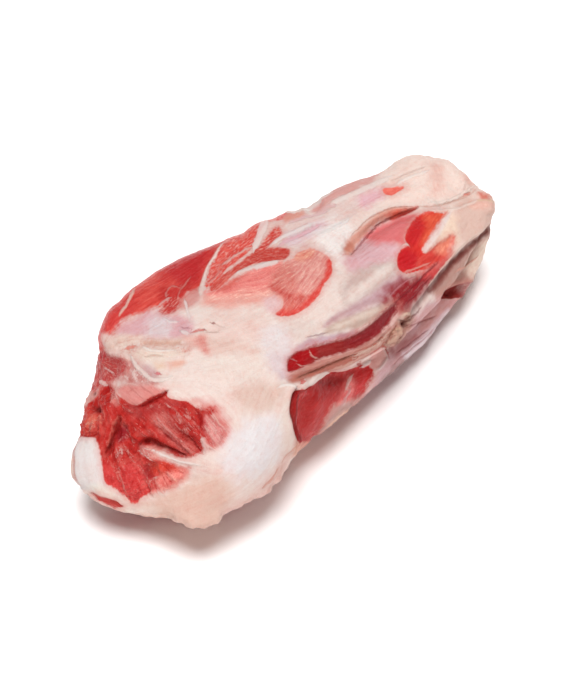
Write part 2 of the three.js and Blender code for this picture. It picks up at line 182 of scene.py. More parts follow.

# What shows in the photograph is laid out in pixels, and the rest on the unrolled skin, by its
# station along the shank in millimetres and its clock angle: 90 is the top, 180 the near side,
# 270 the underside and 360 the far side.

# Soft-edged tones of fat, silverskin and membrane, among them painted shade and painted highlights,
# in the order that they are painted: tone, softness of the edge, how streaky it is, outline
COVER = {
    "knuckle": ("FDE8DD", 14, 0.2, [
        (372, 178), (410, 146), (470, 156), (504, 195), (502, 235), (470, 245), (446, 262), (456, 226),
        (446, 208), (405, 206), (378, 212), (352, 232), (336, 232), (330, 212)]),
    "knuckle_side": ("E8C9BC", 8, 0.2, [
        (458, 200), (480, 195), (500, 205), (496, 228), (478, 238), (462, 246), (452, 232)]),
    "upper_sinew": ("EFDAD3", 10, 0.8, [
        (280, 214), (320, 200), (368, 180), (384, 196), (360, 214), (340, 238), (318, 246), (290, 244)]),
    "upper_white": ("FDF5F0", 7, 0.6, [
        (310, 228), (338, 216), (352, 228), (346, 262), (330, 258), (316, 242)]),
    "back_muscle": ("E3ACA5", 3, 0.6, [
        (314, 212), (330, 205), (346, 198), (358, 192), (372, 184), (380, 170), (340, 168), (308, 196)]),
    "lilac_spot": ("F2C7CE", 5, 0.7, [
        (357, 203), (364, 194), (380, 190), (384, 197), (372, 205), (362, 208)]),
    "lilac_upper": ("EED8DC", 6, 0.8, [
        (286, 236), (306, 226), (322, 219), (326, 226), (312, 236), (292, 246)]),
    "pink_fade": ("F4BDB1", 6, 0.3, [
        (204, 296), (230, 294), (256, 294), (280, 290), (282, 300), (256, 305), (230, 307), (206, 306)]),
    "mauve_skin": ("E2B5B9", 6, 0.6, [
        (117, 331), (124, 322), (136, 316), (150, 309), (160, 313), (178, 314), (190, 320), (194, 332),
        (180, 340), (160, 341), (140, 340), (124, 337)]),
    "mauve_light": ("E4D6D8", 8, 0.7, [
        (152, 318), (166, 314), (172, 326), (166, 338), (150, 338), (146, 330)]),
    "fat_pink": ("F0D8CF", 9, 0.3, [
        (205, 318), (240, 316), (268, 322), (262, 340), (228, 344), (208, 334)]),
    "fat_cream": ("F0E2D9", 10, 0.3, [
        (200, 352), (240, 348), (280, 350), (282, 374), (240, 384), (206, 374)]),
    "fat_grey": ("EADCD4", 9, 0.5, [(284, 322), (312, 318), (324, 330), (300, 344), (284, 340)]),
    "tuft_band": ("E6C9BF", 4, 1.3, [
        (104, 352), (108, 342), (122, 336), (140, 336), (158, 338), (176, 338), (190, 340), (190, 352),
        (176, 356), (150, 358), (132, 360), (118, 354)]),
    "nick_blush": ("EABBB0", 6, 0.9, [
        (188, 336), (204, 334), (212, 342), (211, 353), (196, 351), (188, 344)]),
    "orange_blush": ("F0C0AE", 5, 0.7, [(168, 362), (176, 359), (184, 362), (178, 368), (169, 368)]),
    "pale_strands": ("D69D97", 6, 1.3, [
        (118, 360), (134, 360), (150, 374), (164, 384), (140, 386), (122, 383), (112, 374)]),
    "left_edge": ("DDA8A0", 5, 0.5, [(94, 374), (112, 380), (116, 392), (100, 400), (88, 404), (82, 398)]),
    "torn_fade": ("E2A19A", 7, 0.5, [
        (196, 400), (214, 402), (224, 414), (232, 428), (228, 442), (212, 450), (202, 444), (206, 420)]),
    "torn_foot": ("E8A79C", 5, 0.4, [
        (158, 488), (172, 480), (182, 472), (189, 473), (182, 484), (170, 492)]),
    "flap_peach": ("E6C5B6", 10, 0.2, [
        (118, 500), (146, 502), (178, 488), (206, 474), (226, 478), (230, 500), (222, 520), (212, 534),
        (180, 530), (150, 524), (116, 512)]),
    # White fat with a painted soft sheen, which makes it bluish white
    "flap_white_sheen": ("EDEAEB", 12, 0.2, [
        (222, 452), (238, 428), (268, 414), (288, 420), (288, 440), (276, 462), (254, 478), (226, 474)]),
    "flap_warm": ("EDDED4", 8, 0.2, [
        (280, 400), (294, 396), (292, 420), (296, 442), (286, 456), (282, 436)]),
    "flap_foot": ("ECCAC0", 6, 0.3, [
        (222, 512), (244, 498), (264, 486), (278, 466), (290, 456), (282, 482), (232, 518)]),
    "flap_pink": ("E4CBBF", 8, 0.3, [(234, 388), (268, 382), (284, 392), (274, 408), (246, 412)]),
    "triangle_edge": ("CCA69F", 4, 0.4, [
        (312, 440), (322, 423), (333, 406), (344, 403), (354, 397), (366, 390), (366, 404), (350, 416),
        (334, 428), (318, 440)]),
    "flap_corner": ("E5B5A2", 3, 0.3, [(297, 441), (312, 439), (316, 444), (300, 456), (292, 454)]),
    # Lilac skin along the strip's upper edge, partly painted shade below the cream ridge
    "strip_lilac_and_shade": ("B98C96", 4, 0.6, [
        (286, 366), (284, 360), (292, 352), (304, 345), (318, 338), (340, 334), (356, 330), (356, 336),
        (332, 342), (312, 345), (298, 351), (290, 358)]),
    "strip_tan": ("BE796B", 3, 0.6, [
        (286, 376), (298, 371), (318, 360), (352, 350), (381, 335), (398, 321), (406, 328), (388, 345),
        (362, 358), (336, 370), (306, 380), (292, 384)]),
    "strip_cream": ("CCB4A7", 2.5, 0.4, [
        (325, 329), (336, 322), (350, 315), (366, 310), (384, 302), (396, 299), (404, 299), (403, 303),
        (394, 305), (384, 311), (374, 319), (363, 326), (346, 330), (326, 335)]),
    "lilac_skin": ("E8BEC3", 7, 0.9, [
        (345, 264), (352, 246), (372, 230), (390, 232), (405, 248), (400, 262), (380, 271), (360, 276)]),
    "rose_muscle": ("ED8384", 5, 0.7, [
        (364, 236), (385, 221), (405, 214), (417, 215), (410, 226), (407, 236), (404, 247), (390, 242),
        (376, 243)]),
    "cream_band": ("D4BFB8", 6, 0.5, [
        (342, 284), (364, 268), (385, 261), (399, 262), (398, 274), (385, 288), (366, 299), (346, 306)]),
    # Lilac-grey fat around the cream ridge, partly painted shade that sets the ridge off
    "lilac_band_and_shade": ("CDABB2", 6, 0.8, [
        (338, 316), (358, 302), (384, 284), (398, 274), (407, 280), (397, 295), (376, 304), (352, 315)]),
    "striated_muscle": ("9D2F35", 7, 1.1, [
        (380, 304), (388, 290), (397, 281), (409, 277), (420, 274), (433, 268), (442, 258), (450, 248),
        (447, 264), (435, 284), (421, 298), (408, 312), (398, 312), (390, 302)]),
    "striated_red": ("DC5554", 5, 0.7, [
        (420, 272), (434, 264), (446, 250), (450, 256), (440, 270), (428, 280)]),
    "fold": ("F1B6A4", 2, 0.4, [
        (345, 249), (350, 239), (358, 229), (370, 219), (379, 213), (390, 209), (404, 208), (416, 207),
        (404, 212), (392, 217), (376, 224), (362, 238), (352, 252), (347, 253)]),
    "fold_end": ("DD9580", 4, 0.3, [(344, 248), (349, 242), (354, 246), (351, 253), (346, 253)]),
    "blush": ("FFE8D3", 6, 0.3, [
        (446, 212), (456, 216), (457, 240), (450, 250), (440, 257), (428, 262), (426, 252), (438, 236)]),
    "under_layer": ("C7A094", 3, 0.6, [
        (440, 298), (433, 289), (443, 274), (458, 257), (469, 245), (484, 237), (494, 228), (500, 240),
        (489, 264), (476, 284), (456, 287)]),
    "under_shade": ("8C5650", 2.2, 0.5, [
        (430, 292), (438, 280), (448, 268), (460, 255), (474, 243), (490, 227), (488, 234), (472, 249),
        (458, 262), (446, 276), (436, 290)]),
    "lower_muscle": ("DCB4B6", 5, 0.7, [
        (388, 350), (402, 330), (412, 318), (430, 302), (442, 298), (460, 298), (474, 286), (490, 284),
        (446, 350), (402, 396), (364, 404), (373, 380), (378, 368)]),
    "lower_rose": ("D8A3A0", 5, 0.6, [(426, 312), (446, 302), (452, 306), (436, 322), (420, 330)]),
    "little_window": ("F2C2BB", 2, 0.3, [(371, 355), (382, 349), (387, 357), (377, 369), (369, 366)]),
    "tufts": ("C99A8A", 4, 0.3, [(384, 346), (394, 330), (402, 314), (412, 314), (410, 328), (398, 344)]),
    "white_cut": ("ECE7E5", 1.5, 0.1, [
        (70, 437), (95, 437), (98, 447), (101, 459), (104, 471), (106, 483), (121, 498), (122, 504),
        (106, 497), (88, 490), (70, 488)]),
    "white_cut_foot": ("F1F0E6", 4, 0.1, [(88, 486), (104, 486), (120, 498), (121, 504), (104, 497)]),
    "salmon_flap": ("E79E97", 2.2, 0.9, [
        (119, 387), (138, 385), (158, 388), (167, 390), (157, 396), (146, 402), (137, 406), (127, 404),
        (121, 396)]),
    # Painted shade: a dark red recess under the fold's lip
    "fold_recess_shade": ("9D0C0C", 1.0, 0.3, [
        (388, 219), (398, 213), (408, 209), (419, 206), (411, 212), (400, 217)]),
    # Painted shade: a darker band along the lower side, which turns down away from the light
    "lower_edge_painted_shade": ("8F7470", 3, 0.5, [
        (366, 400), (386, 376), (412, 352), (438, 326), (464, 294), (484, 262), (492, 262), (476, 296),
        (442, 340), (406, 374), (372, 406)]),
    "tendon": ("F8EFE9", 1.2, 0.2, [
        (453, 210), (446, 215), (437, 228), (428, 241), (422, 250), (426, 252), (433, 243), (441, 231),
        (448, 220)]),
    "band_light": ("EFE3DB", 6, 0.6, [
        (346, 296), (366, 280), (388, 264), (392, 270), (372, 287), (352, 302)]),
    "knuckle_red": ("E98F7C", 2.5, 1.0, [(478, 193), (486, 194), (489, 199), (482, 200)]),
    "flap_glow": ("F3E2D7", 8, 0.3, [
        (100, 492), (118, 498), (140, 504), (156, 512), (130, 516), (104, 504)]),
    "band_cream": ("F0DED0", 5, 0.9, [
        (136, 350), (160, 350), (180, 352), (172, 358), (150, 360), (138, 357)]),
    "blush_red": ("E0948A", 5, 1.2, [(199, 337), (206, 339), (209, 350), (204, 351), (200, 345)]),
    "peach_blush": ("F0D2BC", 4, 0.4, [(155, 364), (162, 362), (166, 368), (158, 370)]),
    "hook_pocket": ("D8B3B1", 3, 0.6, [(144, 366), (154, 368), (158, 376), (152, 379), (146, 373)]),
    "edge_peach": ("EFD4C6", 2, 0.3, [(72, 456), (76, 458), (77, 486), (80, 492), (72, 488)]),
    # Painted highlight: a lighter streak along the cream ridge
    "sausage_highlight": ("E4D3C6", 3, 0.4, [
        (332, 327), (350, 318), (374, 309), (374, 313), (352, 323), (334, 330)]),
    "lower_dark": ("BC8080", 5, 0.8, [
        (392, 352), (404, 339), (416, 334), (420, 338), (410, 348), (398, 358)]),
    "lower_light": ("ECDFE5", 4, 0.5, [
        (404, 354), (420, 340), (436, 324), (448, 310), (446, 322), (428, 342), (410, 358)]),
    "knuckle_pink": ("F2CFC3", 7, 0.6, [(428, 164), (440, 166), (444, 180), (438, 192), (430, 184)]),
    "shoulder_pink": ("EFC3B5", 5, 0.4, [(460, 170), (470, 178), (472, 188), (464, 184)]),
    "corner_blush": ("F1C5B6", 3, 0.6, [
        (468, 204), (478, 200), (488, 203), (494, 206), (484, 209), (472, 209)]),
    "peach_tab": ("E8A898", 2.5, 0.5, [
        (284, 216), (292, 214), (303, 212), (304, 217), (294, 220), (284, 222)]),
    "pad_pocket": ("ECCBCA", 4, 0.4, [
        (266, 296), (276, 294), (282, 302), (280, 310), (270, 312), (264, 304)]),
    "wedge_white": ("EFDAD1", 4, 0.7, [
        (156, 452), (164, 455), (178, 459), (198, 458), (214, 462), (222, 472), (206, 474), (188, 469),
        (170, 463), (160, 458)]),
    "sausage_shade": ("C9A6A9", 3, 0.6, [
        (324, 327), (338, 319), (354, 311), (380, 301), (378, 298), (352, 306), (334, 316)]),
    "fold_right": ("F27865", 4, 0.4, [
        (384, 216), (394, 211), (404, 208), (416, 207), (404, 212), (394, 216)]),
    # Lilac beside the strip's left end, partly painted shade
    "strip_left_lilac_shade": ("B48C9E", 5, 0.5, [
        (275, 362), (284, 355), (291, 354), (287, 362), (286, 374), (282, 379), (277, 370)]),
    "band_white": ("EDD6C9", 4, 1.1, [
        (108, 347), (116, 340), (126, 337), (138, 337), (142, 340), (132, 344), (120, 347), (112, 350)]),
    "band_low": ("F0E2D8", 3, 0.9, [
        (106, 352), (116, 350), (126, 354), (132, 360), (122, 360), (112, 356)]),
    "under_tip": ("FCE8D7", 5, 0.5, [
        (468, 262), (476, 250), (488, 240), (492, 248), (484, 264), (474, 278), (466, 274)]),
    "bruise_halo": ("E6D7D8", 8, 0.4, [
        (264, 352), (282, 344), (300, 342), (292, 354), (286, 376), (272, 372)]),
    "strip_top": ("CDB6BF", 4, 0.5, [
        (294, 350), (304, 342), (318, 337), (336, 335), (332, 341), (312, 346), (300, 350)]),
    "fat_fold": ("E9CDC2", 5, 0.5, [
        (208, 338), (230, 338), (246, 346), (262, 350), (256, 354), (236, 352), (214, 354)]),
    "flap_lilac": ("ECE3E2", 8, 0.3, [(262, 330), (284, 326), (292, 342), (280, 352), (264, 350)]),
    "band_brown": ("D8AE9C", 3, 1.0, [
        (140, 342), (150, 340), (164, 341), (178, 340), (178, 344), (160, 345), (146, 345)]),
    "cut_blush": ("DDA59E", 4, 0.4, [
        (178, 298), (187, 291), (199, 288), (201, 295), (195, 304), (186, 309), (179, 307)]),
    "triangle_rim": ("EAC6B2", 2, 0.4, [
        (316, 438), (329, 422), (341, 411), (352, 408), (362, 400), (365, 403), (354, 414), (340, 423),
        (322, 440)]),
}

# Lean meat laid bare: tone, softness of its edge, how far it is sunk, specks of fat, outline
LEAN = {
    "far_muscle": ("E0554D", 0.7, 0.3, 0.05, [
        (226, 240), (222, 247), (213, 258), (207, 268), (203, 278), (200, 286), (193, 290), (187, 292),
        (182, 298), (174, 300), (166, 303), (159, 306), (152, 306), (146, 310), (136, 314), (126, 318),
        (119, 326), (114, 334), (108, 334), (105, 342), (101, 356), (84, 360), (80, 300), (130, 262),
        (190, 234)]),
    "grainy_muscle": ("E55951", 0.35, 0.3, 0.65, [
        (223, 248), (231, 236), (246, 222), (262, 208), (290, 206), (288, 216), (280, 222), (268, 224),
        (258, 237), (250, 250), (238, 260), (227, 269), (218, 280), (208, 287), (205, 285), (209, 270),
        (216, 257)]),
    "grainy_bits": ("DA564E", 0.5, 0.3, 0.6, [
        (262, 243), (271, 231), (278, 227), (282, 233), (274, 242), (264, 250), (256, 252)]),
    "red_finger": ("D0524A", 0.4, 0.3, 0.3, [
        (208, 291), (212, 284), (220, 277), (228, 271), (236, 265), (244, 259), (251, 253), (258, 249),
        (266, 248), (280, 247), (288, 249), (290, 253), (284, 259), (275, 261), (262, 262), (250, 265),
        (240, 270), (230, 278), (220, 288), (212, 292)]),
    "pink_muscle": ("F48E87", 1.3, 0.1, 0.12, [
        (204, 293), (214, 288), (228, 282), (242, 275), (256, 268), (270, 264), (282, 261), (284, 275),
        (282, 290), (268, 295), (250, 298), (232, 299), (214, 300)]),
    "heart_pad": ("E99E95", 0.3, 0.2, 0.2, [
        (293, 258), (298, 252), (308, 248), (316, 249), (325, 254), (331, 260), (333, 268), (329, 278),
        (322, 287), (318, 296), (310, 305), (300, 312), (290, 316), (280, 316), (276, 313), (282, 308),
        (283, 300), (275, 294), (268, 288), (270, 276), (278, 266), (286, 261)]),
    "dark_strip": ("993433", 0.5, 0.8, 0.03, [
        (287, 369), (288, 360), (294, 354), (302, 350), (313, 346), (330, 342), (350, 337), (365, 329),
        (375, 320), (383, 311), (390, 305), (398, 303), (397, 311), (393, 318), (388, 326), (380, 333),
        (372, 339), (360, 346), (350, 350), (340, 353), (320, 359), (313, 363), (305, 366), (297, 370),
        (289, 372)]),
    "triangle": ("C13736", 0.25, 0.8, 0.05, [
        (295, 391), (305, 389), (312, 386), (322, 378), (330, 373), (338, 372), (345, 371), (355, 368),
        (365, 365), (373, 369), (372, 379), (367, 388), (362, 396), (354, 400), (344, 402), (333, 408),
        (325, 422), (316, 438), (307, 442), (299, 442), (295, 422), (292, 412), (293, 398)]),
    "knuckle_cut": ("E0403A", 0.3, 0.8, 0.0, [
        (413, 220), (420, 213), (433, 211), (446, 211), (440, 221), (432, 232), (424, 246), (426, 253),
        (436, 245), (444, 240), (452, 236), (453, 242), (447, 253), (440, 262), (428, 268), (415, 272),
        (405, 273), (399, 268), (398, 258), (401, 250), (406, 247), (408, 244), (405, 238), (408, 228)]),
    "small_cut": ("FC7E70", 0.25, 0.4, 0.1, [
        (383, 191), (386, 188), (403, 186), (402, 190), (393, 195), (386, 194)]),
    "torn_cut": ("C63A36", 0.3, 0.6, 0.0, [
        (86, 404), (92, 398), (98, 392), (103, 384), (108, 383), (113, 388), (119, 396), (128, 402),
        (137, 405), (146, 401), (156, 395), (166, 391), (168, 397), (178, 400), (187, 402), (194, 406),
        (204, 409), (213, 407), (216, 411), (211, 417), (222, 424), (226, 432), (222, 440), (214, 446),
        (208, 445), (205, 438), (200, 440), (203, 450), (197, 455), (188, 458), (178, 457), (169, 454),
        (162, 451), (157, 453), (161, 458), (169, 462), (178, 466), (188, 469), (182, 477), (174, 484),
        (160, 490), (150, 493), (141, 498), (136, 504), (130, 502), (124, 496), (117, 490), (110, 486),
        (105, 481), (103, 470), (100, 455), (97, 441), (94, 437), (84, 437), (76, 436), (74, 424),
        (80, 412)]),
    "crimson_spot": ("C64D4B", 0.9, 0.4, 0.35, [
        (88, 352), (104, 351), (112, 356), (124, 358), (128, 365), (122, 374), (112, 380), (100, 386),
        (84, 388)]),
    "pocket": ("993835", 0.2, 0.4, 0.0, [
        (440, 298), (449, 289), (458, 285), (470, 281), (475, 280), (470, 290), (459, 297), (448, 299)]),
    "rim_strip": ("CC4A45", 0.25, 0.3, 0.05, [
        (92, 494), (99, 497), (106, 499), (112, 500), (118, 503), (123, 506), (117, 508), (110, 506),
        (102, 502), (96, 499)]),
    "speckled_cut": ("C84441", 0.5, 0.3, 0.55, [
        (159, 310), (164, 303), (170, 297), (177, 293), (180, 300), (178, 308), (172, 313), (164, 314)]),
}

# Tones within the lean meat, some of them painted shade: tone, softness, outline
LEAN_TONES = {
    "far_muscle_heart": ("C8383A", 9, [
        (168, 264), (190, 254), (222, 236), (206, 266), (198, 281), (184, 290), (172, 280), (162, 282)]),
    "far_muscle_end": ("D84744", 8, [
        (104, 316), (126, 296), (138, 296), (130, 316), (112, 334), (102, 340)]),
    "pink_muscle_foot": ("FDB7AA", 5, [
        (206, 296), (230, 292), (256, 290), (280, 288), (276, 300), (206, 304)]),
    "pad_rim": ("E3534C", 2.5, [
        (332, 256), (336, 264), (334, 274), (326, 288), (318, 299), (308, 308), (296, 316), (276, 318),
        (282, 308), (296, 306), (306, 299), (314, 290), (321, 280), (326, 270), (327, 260)]),
    "pad_low": ("DB7066", 5, [(284, 300), (296, 292), (306, 296), (298, 306), (286, 310)]),
    "strip_end": ("902E33", 6, [
        (346, 344), (366, 332), (380, 316), (392, 302), (402, 302), (396, 318), (374, 338)]),
    "strip_tip": ("AE2428", 6, [(286, 368), (292, 354), (308, 346), (318, 352), (300, 368)]),
    "triangle_right": ("D23637", 3, [
        (358, 366), (370, 364), (373, 372), (368, 388), (358, 397), (356, 384)]),
    "triangle_dark": ("A71311", 6, [(316, 384), (337, 374), (338, 388), (328, 398), (314, 402)]),
    "cut_orange": ("F0664E", 4, [
        (424, 213), (446, 211), (440, 222), (432, 236), (425, 245), (421, 238), (428, 225)]),
    "cut_dark": ("D03035", 4, [(398, 256), (408, 248), (420, 254), (424, 264), (412, 272), (400, 268)]),
    "torn_bundle": ("D46F68", 4, [
        (150, 412), (164, 411), (180, 425), (194, 442), (194, 454), (184, 454), (168, 441), (153, 425)]),
    "torn_bright": ("DB4C4A", 6, [
        (104, 464), (116, 470), (130, 462), (142, 468), (150, 490), (138, 506), (124, 498), (106, 486)]),
    "torn_lower_pale": ("FA978C", 5, [
        (160, 475), (176, 468), (190, 469), (180, 480), (164, 489), (154, 490)]),
    "torn_lower_dark": ("B84141", 5, [(142, 470), (150, 462), (158, 466), (154, 478), (146, 480)]),
    "torn_right": ("E49793", 5, [(204, 416), (211, 418), (223, 426), (224, 438), (214, 444), (206, 432)]),
    "torn_left": ("D5524A", 5, [(78, 412), (96, 410), (100, 424), (98, 436), (84, 438)]),
    "cut_foot": ("DF4B43", 4, [(420, 258), (434, 254), (446, 248), (442, 260), (430, 270), (418, 270)]),
    "torn_top": ("BA403E", 5, [(126, 406), (150, 402), (176, 402), (170, 412), (150, 416), (132, 418)]),
    "torn_patch_a": ("DE9C96", 2.5, [(172, 417), (180, 420), (180, 426), (173, 424)]),
    "torn_valley": ("B5322E", 3, [(193, 407), (203, 409), (204, 416), (200, 420), (195, 414)]),
    "torn_behind": ("B83532", 4, [(166, 414), (184, 424), (200, 440), (200, 452), (190, 446), (176, 432)]),
    # Painted shade in a crevice of the torn cut
    "torn_crevice_shade": ("AE3339", 3, [(118, 427), (126, 427), (125, 438), (119, 442), (114, 438)]),
    "torn_lower_orange": ("DC4E41", 5, [(150, 462), (166, 464), (176, 468), (160, 474), (152, 472)]),
    "pocket_right": ("BC8480", 3, [(460, 285), (474, 280), (469, 290), (461, 296)]),
    "spot_dark": ("B5343A", 4, [(97, 356), (104, 357), (106, 374), (98, 378)]),
    "torn_knots": ("D9817A", 2, [(112, 391), (117, 395), (119, 402), (115, 406), (110, 399)]),
    "left_knots": ("DE6A5A", 2.5, [(86, 416), (92, 413), (97, 420), (90, 425), (84, 424)]),
    "cut_heart": ("D23436", 4, [(408, 228), (416, 218), (424, 222), (422, 238), (414, 246), (407, 240)]),
    "cut_tip": ("F6937B", 4, [(436, 247), (444, 240), (453, 236), (453, 245), (446, 253), (438, 254)]),
    "mauve_zone": ("F67F7B", 4, [
        (352, 375), (357, 383), (354, 396), (349, 406), (338, 410), (342, 398), (347, 386)]),
    "pad_glow": ("EE9A86", 4, [(294, 257), (302, 250), (314, 249), (312, 256), (302, 260)]),
    "wedge_left": ("E39A91", 2.5, [
        (138, 448), (146, 445), (156, 447), (165, 452), (164, 459), (154, 460), (146, 456)]),
    # Painted shadow: a dark strip where the flap's edge overhangs the muscle
    "triangle_shadow": ("AB2E2D", 1.5, [
        (294, 391), (299, 391), (298, 402), (298, 415), (299, 428), (301, 441), (298, 441), (294, 424),
        (291, 412), (292, 398)]),
    "pad_left": ("DF877D", 6, [(270, 276), (284, 264), (294, 268), (296, 288), (286, 298), (272, 290)]),
    "pink_muscle_top": ("DD6259", 5, [
        (214, 290), (226, 279), (238, 272), (248, 269), (240, 280), (226, 289)]),
    "pad_band": ("D76860", 3, [
        (270, 283), (280, 287), (292, 293), (302, 298), (297, 302), (286, 299), (274, 292)]),
    # Painted shade: a dark strip that dims the lit crest of the flap's edge
    "triangle_crest_shade": ("8F2424", 1.2, [
        (299, 393), (303, 393), (301, 404), (301, 416), (302, 428), (304, 440), (301, 440), (299, 428),
        (298, 414), (298, 402)]),
    "far_tear_dark": ("BE4542", 4, [
        (97, 364), (104, 358), (114, 358), (123, 364), (118, 375), (106, 378), (97, 376)]),
    "far_muscle_low": ("CB403D", 5, [
        (160, 290), (172, 284), (190, 282), (196, 288), (186, 292), (180, 298), (166, 302)]),
}
